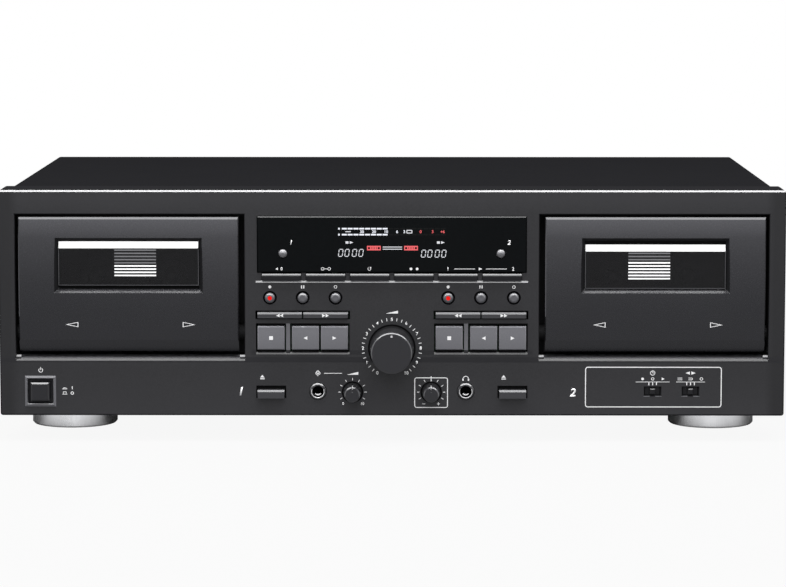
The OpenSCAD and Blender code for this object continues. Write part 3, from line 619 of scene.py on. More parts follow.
class Coat(Enum):
    """Every finish on the deck."""

    PANEL = Moulded(
        "panel_satin_black", PANEL_TONE, rough=0.6, specular=0.0, grain=0.7, depth=0.012, mottle=0.32,
        gloss=0.11, edge=1.0, flank=0.0325, wear_and_highlight=8.0,
        patches=(
            # painted light: the panel is paler towards its top and towards its bottom
            Patch((None, None, 131.5), (None, None, 139.2), PANEL_PAINTED_LIGHT, 0.55, soft=8.0),
            Patch(OPEN, (None, None, 24.0), PANEL_PAINTED_LIGHT, 0.55, soft=30.0),
            # painted shade: the panel is darker at its two ends
            Patch(OPEN, (-209.0, None, None), PANEL_SIDE_SHADE, 0.65, soft=5.0),
            Patch((209.0, None, None), OPEN, PANEL_SIDE_SHADE, 0.65, soft=5.0),
            # painted shade: the panel's top rim is darker
            Patch((None, None, 139.2), OPEN, RIM_SHADE, 0.7),
            # painted highlight: a pale line along the panel's top front bevel
            Patch((None, -123.6, 139.14), (None, -122.64, None), TOP_EDGE_HIGHLIGHT, 0.4, soft=0.06),
            # painted shade: the panel's walls behind its face, inside the openings, are black
            Patch((-214.0, -121.8, 17.5), (214.0, None, 137.2), PITCH_BLACK, 0.9, edge=0.0),
            # painted light: the floor of the bays just behind the panel's face is paler
            Patch((None, -121.8, 46.2), (None, -118.5, 47.1), LEDGE_PAINTED_LIGHT, 0.7, edge=0.0),
            Patch((-59.2, -123.35, 50.3), (-55.9, -119.0, 66.2), KEY_TONE, 0.4),
            Patch((39.4, -123.35, 50.3), (42.7, -119.0, 66.2), KEY_TONE, 0.4),
            Patch((None, -123.6, 44.4), (None, -121.8, 47.4), PANEL_TONE, 0.6, edge=0.27),
            Patch((None, -123.6, 44.4), (None, -121.8, 45.5), PANEL_TONE, 0.6, soft=0.8, edge=0.4),
            Patch((-78.0, -123.6, 48.7), (78.0, -121.8, 51.3), PANEL_TONE, 0.6, edge=0.4),
            # painted shade: the round buttons' holes are darker
            Patch((-72.0, -123.42, 75.5), (-26.0, None, 85.0), HOLE_SHADE, 0.6, edge=0.4),
            Patch((26.0, -123.42, 75.5), (72.0, None, 85.0), HOLE_SHADE, 0.6, edge=0.4),
            Patch((-204.0, None, 19.2), (-186.0, -123.6, 37.2), BEZEL_TONE, 0.45, edge=0.12),
            # painted highlight: a pale line along the sill inside the power button's bezel
            Patch((-202.2, None, 21.0), (-187.8, -123.5, 22.0), BEZEL_SILL_HIGHLIGHT, 0.4, edge=0.6),
        ),
    )
    POWER_KEY = Moulded(
        "power_key_satin_black", (0.0206, 0.0206, 0.0226), rough=0.45, specular=0.12,
        edge=0.6, flank=0.13, wear_and_highlight=3.0,
    )
    DOOR = Moulded(
        "door_satin_black", DOOR_TONE, rough=0.27, specular=0.34, grain=0.7, mottle=0.4, edge=0.6,
        wear_and_highlight=3.0,
        patches=(
            # painted light: the doors grow paler towards the top
            Patch((None, None, 95.0), (None, -123.0, None), DOOR_MIDDLE_LIGHT, 0.27, soft=40.0),
            Patch((None, None, 121.0), (None, -123.0, None), DOOR_TOP_LIGHT, 0.27, soft=14.0),
            # painted highlight: thin pale lines down the doors' left edges
            Patch((-206.6, None, 70.0), (-205.95, -123.4, None), DOOR_EDGE_HIGHLIGHT, 0.3, soft=0.3),
            Patch((84.6, None, 70.0), (85.25, -123.4, None), DOOR_EDGE_HIGHLIGHT, 0.3, soft=0.3),
            # painted shade: the doors are darker towards the bottom
            Patch(OPEN, (None, -123.0, 62.0), DOOR_CHIN_SHADE, 0.3, soft=16.0),
            # painted shade: the doors' surfaces behind their front are black
            Patch((None, -120.0, None), OPEN, PITCH_BLACK, 0.9, edge=0.0),
        ),
    )
    KNOB = Moulded(
        "knob_satin_black", (0.0134, 0.0134, 0.0148), rough=0.36, edge=0.5, flank=0.585, wear_and_highlight=7.0,
        patches=(
            # painted shade: the knobs turn black towards the panel
            Patch((-15.5, -129.0, None), (15.5, None, None), PITCH_BLACK, 0.7, soft=5.0, edge=0.2),
            Patch((None, -126.0, None), OPEN, PITCH_BLACK, 0.7, soft=3.0, edge=0.2),
        ),
    )
    COVER = Moulded(
        "cover_black_paint", (0.0131, 0.0131, 0.0145), rough=0.85, specular=0.0, grain=0.9, depth=0.03
    )
    CHASSIS = Metal(
        "chassis_grey_paint", (0.16, 0.16, 0.165), rough=0.45, metallic=0.4, stretch=(0.1, 0.1, 1.0)
    )
    REAR = Moulded(
        "rear_black_paint", (0.0284, 0.0284, 0.0298), rough=0.6, specular=0.15, grain=0.9, depth=0.03
    )
    FOOT = Metal(
        "foot_satin_silver", (0.84, 0.845, 0.865), metallic=0.95, stretch=(1.0, 1.0, 0.06), grain=0.35,
        patches=(
            Patch((None, None, -1.0), (None, None, 0.25), RUBBER_BLACK, 0.8),
            # painted shadow: the feet are dark at the top, under the panel's edge
            Patch((None, None, 8.5), OPEN, (0.01, 0.01, 0.01), 0.8, soft=0.5),
        ),
    )
    SCREW = Metal("screw_black_steel", (0.1, 0.1, 0.105), rough=0.32, metallic=0.9, stretch=EVEN)
    SOCKET = Moulded(
        "socket_dark_satin", (0.0426, 0.0426, 0.0454), rough=0.34, edge=0.7,
        # painted shade: the sockets are black inside their bores
        patches=(Patch((None, -123.3, None), OPEN, PITCH_BLACK, 0.8, edge=0.0),),
    )
    SOCKET_LIP = Metal("socket_lip_nickel", (0.62, 0.62, 0.63), rough=0.26, stretch=EVEN)
    SPRING = Moulded("contact_spring_bright", (0.7, 0.7, 0.71), rough=0.3, specular=0.5, edge=1.0)
    PHONO = Metal(
        "phono_nickel", (0.66, 0.64, 0.6), rough=0.22, stretch=(1.0, 0.1, 1.0),
        patches=(
            Patch((None, 137.6, None), (None, 139.75, 57.0), (0.42, 0.02, 0.02), 0.4),
            Patch((None, 137.6, 57.0), (None, 139.75, None), (0.72, 0.72, 0.7), 0.4),
            Patch(OPEN, (None, 137.6, None), RUBBER_BLACK, 0.5),
        ),
    )
    RUBBER = Moulded(
        "gland_rubber", (0.0256, 0.0256, 0.0256), rough=0.72, specular=0.3, grain=0.6, depth=0.02
    )
    DISPLAY = Moulded(
        "display_black_lens", (0.0031, 0.0037, 0.004), rough=0.16, specular=0.04,
        grain=2.0, depth=0.0, mottle=0.2, edge=0.3,
    )
    LENS = Smoked("door_smoked_lens", (0.0136, 0.0136, 0.0148), cover=0.6, rough=0.07, specular=0.125)
    # black print on the display, dark grooves, and painted shade by the lens panes and knobs
    GASKET = Moulded("lens_gasket_black", PITCH_BLACK, rough=0.8, specular=0.05, grain=0.5, depth=0.01)
    # painted shade: a dark matte sheet over the windows' top and side bevels
    WINDOW_RIM = Moulded(
        "window_rim_black", (0.0105, 0.0105, 0.0115), rough=0.8, specular=0.05, grain=0.5, depth=0.01
    )
    # painted highlight: pale lines on the lenses' cut edges and under the switch slots
    LENS_EDGE = Moulded("lens_edge_grey", (0.105, 0.105, 0.113), rough=0.4, specular=0.2)
    TUBE = Smoked("display_tube_glass", (0.02, 0.03, 0.03), cover=0.9)
    CIRCUIT = Circuit("board_green", (0.012, 0.05, 0.022))
    STEEL = Metal("bare_steel", (0.5, 0.5, 0.5), rough=0.34)
    DARK = Moulded(
        "well_dark_plastic", WELL_TONE, rough=0.6, specular=0.1, grain=4.0, depth=0.001, mottle=0.08,
        # painted light: the front of the wells' floor is paler
        patches=(Patch((None, None, 46.0), (None, -106.0, 47.3), LEDGE_PAINTED_LIGHT, 0.6, edge=0.0),),
    )
    HOLDER = Moulded(
        "holder_dark_plastic", (0.0085, 0.0085, 0.0091), rough=0.5, specular=0.1,
        grain=4.0, depth=0.001, mottle=0.08,
    )
    REEL = Moulded("reel_dark_plastic", WELL_TONE, rough=0.45, specular=0.15)
    HEAD = Metal(
        "head_plate_steel", (0.52, 0.52, 0.51), rough=0.26, stretch=(0.05, 1.0, 1.0),
        # painted shade: the head plates are black below 56 mm, under the doors
        patches=(Patch(OPEN, (None, None, 56.0), PITCH_BLACK, 0.9),), specular=0.02,
    )
    KEY = Moulded(
        "key_satin_grey", KEY_TONE, rough=0.38, grain=0.6, mottle=0.22, edge=0.45, flank=0.65, wear_and_highlight=2.6,
        # painted shade: the tape keys darken towards the bottom
        patches=(Patch(OPEN, (None, None, 54.0), KEY_SHADE, 0.4, soft=14.0), KEY_BACK_SHADE),
    )
    WIND_KEY = Moulded(
        "wind_key_satin_grey", (0.0312, 0.0312, 0.0338), rough=0.34,
        edge=0.24, flank=0.065, wear_and_highlight=2.0, patches=(KEY_BACK_SHADE,),
    )
    DARK_KEY = Moulded(
        "dark_key_satin", DARK_KEY_TONE, rough=0.3, specular=0.14, edge=0.6, flank=0.065,
        patches=(Patch((None, None, 92.4), (None, None, 93.15), DARK_KEY_TONE, 0.3, edge=0.12), KEY_BACK_SHADE),
    )
    EJECT_KEY = Moulded(
        "eject_key_satin", (0.0334, 0.0334, 0.0364), rough=0.32, edge=0.36, flank=0.13, patches=(KEY_BACK_SHADE,)
    )
    ROUND_KEY = Moulded(
        "round_key_satin", (0.0852, 0.0852, 0.093), rough=0.32, edge=0.85, flank=0.065, patches=(KEY_BACK_SHADE,)
    )
    SILVER_KEY = Moulded(
        "clear_key_silver", (0.1065, 0.1065, 0.1136), rough=0.3, specular=0.4,
        edge=1.0, flank=0.065, wear_and_highlight=3.0,
    )
    SWITCH = Moulded(
        "switch_dark_plastic", (0.0114, 0.0114, 0.0125), rough=0.4, specular=0.12, edge=0.4, flank=0.13
    )
    INK = Moulded("white_ink", (0.8, 0.8, 0.81), rough=0.5, specular=0.2, grain=0.3, depth=0.0, mottle=0.06)
    RED_INK = Moulded(
        "red_ink", (0.78, 0.009, 0.005), rough=0.45, specular=0.06, grain=0.3, depth=0.0, mottle=0.06
    )
    # painted light: a white band that glows on each lens
    BAND = Glow("lens_white_band", (0.95, 0.95, 0.95), strength=0.6, body=0.9)
    GLOW_WHITE = Glow("segment_white", (0.9, 0.93, 1.0))
    GLOW_DIM = Glow("segment_off", (0.004, 0.0043, 0.0047))
    GLOW_SOFT = Glow("segment_soft_white", (0.74, 0.75, 0.79))
    GLOW_RED = Glow("segment_red", (0.85, 0.14, 0.15))
    # painted light: the sight bars glow, the lower ones brighter
    SIGHT_BRIGHT = Glow("sight_bar_bright", (0.95, 0.95, 0.95), strength=0.3, body=0.9)
    SIGHT_SOFT = Glow("sight_bar_soft", (0.2, 0.2, 0.21), strength=0.3, body=0.6)




class Paintbox:
    """Makes each finish once."""

    def __init__(self) -> None:
        """Start with no finish made."""
        self._made: dict[Coat, Material] = {}

    def get(self, coat: Coat) -> Material:
        """Give a finish, made on its first use.

        Args:
            coat: The finish.

        Returns:
            Its material.
        """
        if coat not in self._made:
            self._made[coat] = coat.value.make()
        return self._made[coat]

    def dress(self, coat: Coat, nodes: Iterable[str]) -> None:
        """Put a finish on nodes of the frame.

        Args:
            coat: The finish.
            nodes: Node names.
        """
        for name in nodes:
            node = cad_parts[name]
            node.data.materials.clear()
            node.data.materials.append(self.get(coat))


PAINTS = Paintbox()


# Pieces laid on the frame

WELD = 1e-6
INK_SHARE = 0.9
RING_LEAST = 8
RING_STEP = 12.0
CORNER_STEP = 22.5
DOT_STEPS = 20
DOT_RINGS = (0.4, 0.75, 1.0)
HOLLOW_INSET = 2.6
HOLLOW_SHIFT = 0.16
CAP_SHARE = 0.7
STROKE_SHARE = 0.035
ITALIC = 0.2


def settle(mesh: Mesh, name: str, body: str) -> Object:
    """Put a finished mesh in the scene and let it ride on a body.

    Args:
        mesh: The mesh, with its place in its vertices.
        name: The piece's name.
        body: The body that carries it.

    Returns:
        The new object.
    """
    mesh.name = name
    piece = placed(mesh, name)
    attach(piece, body)
    LOG.info("%s: %d faces on %s", name, len(mesh.polygons), body)
    return piece


class Skin:
    """The front of some nodes or meshes, for laying marks on it."""

    def __init__(self, bases: Iterable[str | Mesh], back: bool = False) -> None:
        """Gather the faces.

        Args:
            bases: Node names or meshes.
            back: Whether the marks go on the back.
        """
        points: list[Vector] = []
        faces: list[list[int]] = []
        for base in bases:
            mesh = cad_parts[base].data if isinstance(base, str) else base
            start = len(points)
            points.extend(v.co.copy() for v in mesh.vertices)
            faces.extend([start + v for v in face.vertices] for face in mesh.polygons)
        self.tree = BVHTree.FromPolygons(points, faces)
        self.sign = -1.0 if back else 1.0

    def depth(self, x: float, z: float) -> float:
        """Find the surface.

        Args:
            x: Place across, in metres.
            z: Place up, in metres.

        Returns:
            The surface's Y in metres.
        """
        hit = self.tree.ray_cast(Vector((x, -self.sign, z)), Vector((0.0, self.sign, 0.0)))[0]
        if hit is None:
            raise ValueError(f"no surface under a mark at {x / MM:.1f}, {z / MM:.1f}")
        return hit.y


class Print:
    """Flat marks in one ink, laid on a skin."""

    def __init__(self, skin: Skin, lift: float = 0.03) -> None:
        """Start an empty sheet.

        Args:
            skin: The surface that takes the ink.
            lift: How far the ink stands out, in millimetres.
        """
        self.skin = skin
        self.lift = lift
        self.mesh = bmesh.new()

    def _vert(self, point: Point) -> BMVert:
        """Add one corner, given in millimetres."""
        return self.mesh.verts.new((point[0] * MM, 0.0, point[1] * MM))

    def _strip(self, rows: Sequence[Sequence[BMVert]], closed: bool) -> None:
        """Fill a line between rows of two corners each.

        Args:
            rows: The rows, in order along the line.
            closed: Whether the last row meets the first.
        """
        ends = [*rows[1:], rows[0]] if closed else rows[1:]
        for first, second in zip(rows, ends):
            self.mesh.faces.new((first[0], first[1], second[1], second[0]))

    def area(self, points: Sequence[Point]) -> None:
        """Fill one outline, given in millimetres."""
        self.mesh.faces.new([self._vert(point) for point in points])

    def block(self, low: Point, high: Point) -> None:
        """Fill a rectangle between its lower left and its upper right corner."""
        self.area([low, (high[0], low[1]), high, (low[0], high[1])])

    def bar(self, start: Point, end: Point, width: float) -> None:
        """Draw a straight line.

        Args:
            start: One end.
            end: The other end.
            width: The line's width.
        """
        along = Vector((end[0] - start[0], end[1] - start[1])).normalized() * (width / 2)
        side = Vector((-along.y, along.x))
        self.area(
            [
                (start[0] + side.x, start[1] + side.y),
                (start[0] - side.x, start[1] - side.y),
                (end[0] - side.x, end[1] - side.y),
                (end[0] + side.x, end[1] + side.y),
            ]
        )

    def ring(self, centre: Point, radius: float, line: float, arc: Point = (0.0, FULL_TURN)) -> None:
        """Draw a circle or a part of one.

        Args:
            centre: Its centre.
            radius: Radius of the middle of the line.
            line: The line's width.
            arc: First and last angle, clockwise from the top.
        """
        span = arc[1] - arc[0]
        closed = span >= FULL_TURN
        steps = max(RING_LEAST, int(span / RING_STEP))
        radii = (radius - line / 2, radius + line / 2)
        rows = []
        for step in range(steps + (0 if closed else 1)):
            angle = math.radians(arc[0] + span * step / steps)
            rows.append([self._vert(on_circle(centre, r, angle)) for r in radii])
        self._strip(rows, closed)

    def dot(self, centre: Point, radius: float) -> None:
        """Draw a filled circle, with rings inside it that follow a domed surface.

        Args:
            centre: Its centre.
            radius: Its radius.
        """
        middle = self._vert(centre)
        loops = []
        for share in DOT_RINGS:
            loop = []
            for n in range(DOT_STEPS):
                angle = math.tau * n / DOT_STEPS
                x = centre[0] + math.cos(angle) * radius * share
                z = centre[1] + math.sin(angle) * radius * share
                loop.append(self._vert((x, z)))
            loops.append(loop)
        for n in range(DOT_STEPS):
            m = (n + 1) % DOT_STEPS
            self.mesh.faces.new((middle, loops[0][n], loops[0][m]))
            for inner, outer in zip(loops, loops[1:]):
                self.mesh.faces.new((inner[n], outer[n], outer[m], inner[m]))

    def fold(self, levels: Iterable[float]) -> None:
        """Cut the marks where the surface below has an edge across.

        Args:
            levels: Heights of the edges in millimetres.
        """
        for level in levels:
            everything = self.mesh.verts[:] + self.mesh.edges[:] + self.mesh.faces[:]
            bmesh.ops.bisect_plane(
                self.mesh, geom=everything, plane_co=(0.0, 0.0, level * MM), plane_no=(0.0, 0.0, 1.0)
            )

    def frame(self, low: Point, high: Point, line: float, corner: float) -> None:
        """Draw a rectangle's outline with rounded corners.

        Args:
            low: Lower left corner of the line's middle.
            high: Upper right corner.
            line: The line's width.
            corner: Radius of the corners.
        """
        turns = (
            (high[0] - corner, high[1] - corner, 0.0),
            (high[0] - corner, low[1] + corner, 90.0),
            (low[0] + corner, low[1] + corner, 180.0),
            (low[0] + corner, high[1] - corner, 270.0),
        )
        radii = (corner - line / 2, corner + line / 2)
        rows = []
        for x, z, start in turns:
            for step in range(5):
                angle = math.radians(start + CORNER_STEP * step)
                rows.append([self._vert(on_circle((x, z), r, angle)) for r in radii])
        self._strip(rows, True)

    def arrow(self, centre: Point, width: float, height: float, right: bool) -> None:
        """Draw a filled triangle.

        Args:
            centre: Its centre.
            width: Its width.
            height: Its height.
            right: Whether it points right.
        """
        tip = width / 2 if right else -width / 2
        x, z = centre
        self.area([(x + tip, z), (x - tip, z + height / 2), (x - tip, z - height / 2)])

    def hollow_arrow(self, centre: Point, size: Point, line: float, right: bool) -> None:
        """Draw a triangle's outline.

        Args:
            centre: Its centre.
            size: Width and height.
            line: The line's width.
            right: Whether it points right.
        """
        tip = size[0] / 2 if right else -size[0] / 2
        outer = [(tip, 0.0), (-tip, size[1] / 2), (-tip, -size[1] / 2)]
        inset = 1 - HOLLOW_INSET * line / size[1]
        loops = []
        for factor, move in ((1.0, 0.0), (inset, -tip * HOLLOW_SHIFT)):
            corners = [(centre[0] + x * factor + move, centre[1] + z * factor) for x, z in outer]
            loops.append([self._vert(corner) for corner in corners])
        for n in range(3):
            m = (n + 1) % 3
            self.mesh.faces.new((loops[0][n], loops[0][m], loops[1][m], loops[1][n]))

    def text(self, words: str, centre: Point, height: float, lean: float = 0.0) -> None:
        """Set a number or a sign.

        Args:
            words: The characters.
            centre: Middle of the line.
            height: Height of a figure.
            lean: Slope of the letters.
        """
        curve = bpy.data.curves.new("figure", "FONT")
        curve.body = words
        curve.size = height * MM / CAP_SHARE
        curve.offset = height * MM * STROKE_SHARE
        curve.shear = lean
        curve.align_x = "CENTER"
        curve.resolution_u = 3
        holder = bpy.data.objects.new("figure", curve)
        flat = bpy.data.meshes.new_from_object(holder)
        for vertex in flat.vertices:
            x, z = vertex.co.x * self.skin.sign, vertex.co.y
            vertex.co = (centre[0] * MM + x, 0.0, (centre[1] - height / 2) * MM + z)
        self.mesh.from_mesh(flat)
        bpy.data.objects.remove(holder)
        bpy.data.curves.remove(curve)
        bpy.data.meshes.remove(flat)

    def finish(self, name: str, body: str, coat: Coat) -> Object:
        """Lay the marks on the skin and give them their thickness.

        Args:
            name: The piece's name.
            body: The body that carries it.
            coat: The ink.

        Returns:
            The piece.
        """
        sign = self.skin.sign
        for vertex in self.mesh.verts:
            vertex.co.y = self.skin.depth(vertex.co.x, vertex.co.z) - sign * self.lift * MM
        bmesh.ops.remove_doubles(self.mesh, verts=self.mesh.verts[:], dist=WELD)
        top = self.mesh.faces[:]
        bmesh.ops.recalc_face_normals(self.mesh, faces=top)
        inward = [face for face in top if face.normal.y * sign > 0]
        bmesh.ops.reverse_faces(self.mesh, faces=inward)
        bmesh.ops.solidify(self.mesh, geom=top, thickness=self.lift * MM * INK_SHARE)
        bmesh.ops.recalc_face_normals(self.mesh, faces=self.mesh.faces[:])
        mesh = baked(self.mesh, name)
        mesh.materials.append(PAINTS.get(coat))
        return settle(mesh, name, body)


def between(low: float, high: float) -> list[float]:
    """List the levels at which a mark folds to follow a bowed skin, one each millimetre or less."""
    count = math.ceil(high - low)
    return [low + (high - low) * n / count for n in range(1, count)]


# Turned and rolled pieces

TURNED_STEPS = 48
WIRE_SIDES = 10
WIRE_STEP = 7.5


def turned(name: str, profile: Sequence[Point], centre: Point, coat: Coat) -> Mesh:
    """Turn a profile round an axis that runs to the back.

    Args:
        name: The mesh's name.
        profile: Radius and Y of each corner in millimetres, from the front's middle to the back's.
        centre: X and Z of the axis.
        coat: The finish.

    Returns:
        A closed mesh with smooth rounds.
    """
    shape = bmesh.new()
    loops = []
    for radius, y in profile:
        loop = []
        for n in range(TURNED_STEPS if radius > 0 else 1):
            x, z = on_circle(centre, radius, math.tau * n / TURNED_STEPS)
            loop.append(shape.verts.new(Vector((x, y, z)) * MM))
        loops.append(loop)
    for first, second in zip(loops, loops[1:]):
        for n in range(TURNED_STEPS):
            m = (n + 1) % TURNED_STEPS
            if len(first) == 1:
                shape.faces.new((first[0], second[n], second[m]))
            elif len(second) == 1:
                shape.faces.new((first[n], second[0], first[m]))
            else:
                shape.faces.new((first[n], second[n], second[m], first[m]))
    bmesh.ops.recalc_face_normals(shape, faces=shape.faces[:])
    return smoothed(shape, name, coat)


def rolled(shape: BMesh, centre: Triple, radius: float, thick: float, arc: Point) -> None:
    """Add a round wire bent to a part of a ring that faces the front.

    Args:
        shape: The mesh that takes it.
        centre: Middle of the ring in millimetres.
        radius: Radius of the wire's middle line.
        thick: Radius of the wire.
        arc: First and last angle, clockwise from the top.
    """
    span = arc[1] - arc[0]
    steps = int(span / WIRE_STEP)
    loops = []
    for n in range(steps + 1):
        turn = math.radians(arc[0] + span * n / steps)
        loop = []
        for m in range(WIRE_SIDES):
            lean = math.tau * m / WIRE_SIDES
            x, z = on_circle((centre[0], centre[2]), radius + math.cos(lean) * thick, turn)
            y = centre[1] - math.sin(lean) * thick
            loop.append(shape.verts.new(Vector((x, y, z)) * MM))
        loops.append(loop)
    for first, second in zip(loops, loops[1:]):
        for m in range(WIRE_SIDES):
            k = (m + 1) % WIRE_SIDES
            shape.faces.new((first[m], first[k], second[k], second[m]))
    shape.faces.new(loops[0])
    shape.faces.new(list(reversed(loops[-1])))


def smoothed(shape: BMesh, name: str, coat: Coat) -> Mesh:
    """Turn a shape into a mesh with soft rounds and crisp edges.

    Args:
        shape: The shape, which is used up.
        name: The mesh's name.
        coat: The finish.

    Returns:
        The mesh.
    """
    for face in shape.faces:
        face.smooth = True
    mesh = baked(shape, name)
    mesh.set_sharp_from_angle(angle=CREASE)
    mesh.materials.append(PAINTS.get(coat))
    return mesh


# Repeats made by Geometry Nodes


class Repeat:
    """A tree of nodes that repeats one small shape."""

    def __init__(self, name: str, inputs: Mapping[str, str]) -> None:
        """Start a tree.

        Args:
            name: The tree's name.
            inputs: Socket type of each named input.
        """
        tree = bpy.data.node_groups.new(name, "GeometryNodeTree")
        tree.interface.new_socket("Geometry", in_out="OUTPUT", socket_type="NodeSocketGeometry")
        tree.interface.new_socket("Geometry", in_out="INPUT", socket_type="NodeSocketGeometry")
        for label, kind in inputs.items():
            tree.interface.new_socket(label, in_out="INPUT", socket_type=kind)
        self.graph = Graph(tree)
        self.entry = self.graph.add("NodeGroupInput")

    def given(self, name: str) -> Sock:
        """Read one of the tree's inputs."""
        return self.graph.out(self.entry, name)

    def close(self, points: Any, shape: Any, rotation: Any) -> None:
        """Put the shape on the points and end the tree.

        Args:
            points: The points' geometry.
            shape: The shape's geometry.
            rotation: Rotation of each copy.
        """
        spread = {"Points": points, "Instance": shape, "Rotation": rotation}
        copies = self.graph.add("GeometryNodeInstanceOnPoints", None, spread)
        real = self.graph.add("GeometryNodeRealizeInstances", None, {0: copies.outputs[0]})
        painted = self.graph.add(
            "GeometryNodeSetMaterial", None, {"Geometry": real.outputs[0], "Material": self.given("Finish")}
        )
        self.graph.add("NodeGroupOutput", None, {0: painted.outputs[0]})

    def grow(self, base: Mesh, values: Mapping[str, Any]) -> Mesh:
        """Run the tree on a mesh.

        Args:
            base: The mesh that the tree starts from.
            values: Value of each named input.

        Returns:
            A plain mesh.
        """
        holder = placed(base, "repeat")
        modifier = holder.modifiers.new("repeat", "NODES")
        modifier.node_group = self.graph.tree
        for item in self.graph.tree.interface.items_tree:
            if item.in_out == "INPUT" and item.name in values:
                modifier[item.identifier] = values[item.name]
        seen = bpy.context.evaluated_depsgraph_get()
        mesh = bpy.data.meshes.new_from_object(holder.evaluated_get(seen))
        holder.modifiers.clear()
        bpy.data.objects.remove(holder)
        return mesh


def empty_mesh() -> Mesh:
    """Give a mesh with nothing in it."""
    return bpy.data.meshes.new("blank")


class TickRing(Repeat):
    """Short ticks round a dial."""

    def __init__(self) -> None:
        """Build the tree: points on an arc, each with a bar that points outwards."""
        super().__init__(
            "tick_ring",
            {
                "Count": "NodeSocketInt",
                "Radius": "NodeSocketFloat",
                "Start": "NodeSocketFloat",
                "Step": "NodeSocketFloat",
                "Size": "NodeSocketVector",
                "Centre": "NodeSocketVector",
                "Finish": "NodeSocketMaterial",
            },
        )
        graph = self.graph
        index = graph.out(graph.add("GeometryNodeInputIndex"))
        angle = index * self.given("Step") + self.given("Start")
        radius = self.given("Radius")
        sides = {0: angle.sine() * radius, 2: angle.cosine() * radius}
        reach = graph.add("ShaderNodeCombineXYZ", None, sides)
        place = graph.add(
            "ShaderNodeVectorMath", {"operation": "ADD"}, {0: reach.outputs[0], 1: self.given("Centre")}
        )
        points = graph.add("GeometryNodePoints", None, {"Count": self.given("Count")})
        moved = graph.add(
            "GeometryNodeSetPosition", None, {"Geometry": points.outputs[0], "Position": place.outputs[0]}
        )
        bar = graph.add("GeometryNodeMeshCube", None, {"Size": self.given("Size")})
        turn = graph.add("ShaderNodeCombineXYZ", None, {1: angle})
        rotation = graph.add("FunctionNodeEulerToRotation", None, {0: turn.outputs[0]})
        self.close(moved.outputs[0], bar.outputs[0], rotation.outputs[0])


class BarRow(Repeat):
    """Equal bars in a straight row."""

    def __init__(self) -> None:
        """Build the tree: points a pitch apart, each with a bar."""
        super().__init__(
            "bar_row",
            {
                "Count": "NodeSocketInt",
                "First": "NodeSocketVector",
                "Pitch": "NodeSocketVector",
                "Size": "NodeSocketVector",
                "Finish": "NodeSocketMaterial",
            },
        )
        graph = self.graph
        names = {"Count": "Count", "Start Location": "First", "Offset": "Pitch"}
        inputs = {socket: self.given(name) for socket, name in names.items()}
        line = graph.add("GeometryNodeMeshLine", {"mode": "OFFSET"}, inputs)
        bar = graph.add("GeometryNodeMeshCube", None, {"Size": self.given("Size")})
        still = graph.add("FunctionNodeEulerToRotation")
        self.close(line.outputs[0], bar.outputs[0], still.outputs[0])

    def lay(self, count: int, first: Triple, pitch: Triple, size: Triple, coat: Coat) -> Mesh:
        """Make one row.

        Args:
            count: How many bars.
            first: Middle of the first bar in millimetres.
            pitch: The way from one bar to the next.
            size: A bar's size.
            coat: The finish.

        Returns:
            A plain mesh.
        """
        return self.grow(
            empty_mesh(),
            {
                "Count": count,
                "First": Vector(first) * MM,
                "Pitch": Vector(pitch) * MM,
                "Size": Vector(size) * MM,
                "Finish": PAINTS.get(coat),
            },
        )


class ScrewSet(Repeat):
    """One screw head on every point of a mesh, turned along the point's axis."""

    def __init__(self) -> None:
        """Build the tree: the head is read from an object, its axis from an attribute."""
        super().__init__(
            "screw_set",
            {"Head": "NodeSocketObject", "Spin": "NodeSocketFloat", "Finish": "NodeSocketMaterial"},
        )
        graph = self.graph
        head = graph.add("GeometryNodeObjectInfo", None, {"Object": self.given("Head")})
        axis = graph.add("GeometryNodeInputNamedAttribute", {"data_type": "FLOAT_VECTOR"}, {"Name": "axis"})
        index = graph.out(graph.add("GeometryNodeInputIndex"))
        turn = graph.add("ShaderNodeCombineXYZ", None, {2: index * self.given("Spin")})
        spun = graph.add("FunctionNodeEulerToRotation", None, {0: turn.outputs[0]})
        upright = graph.add(
            "FunctionNodeAlignRotationToVector", {"axis": "Z"}, {"Vector": axis.outputs["Attribute"]}
        )
        both = graph.add(
            "FunctionNodeRotateRotation",
            {"rotation_space": "LOCAL"},
            {"Rotation": upright.outputs[0], "Rotate By": spun.outputs[0]},
        )
        self.close(self.given("Geometry"), head.outputs["Geometry"], both.outputs[0])


# Sub-assemblies


@dataclass(frozen=True)
class Lamp:
    """One soft lamp: its place, its width and height, its power in watts and the point that it faces."""

    name: str
    place: Triple
    size: Point
    power: float
    aim: Triple


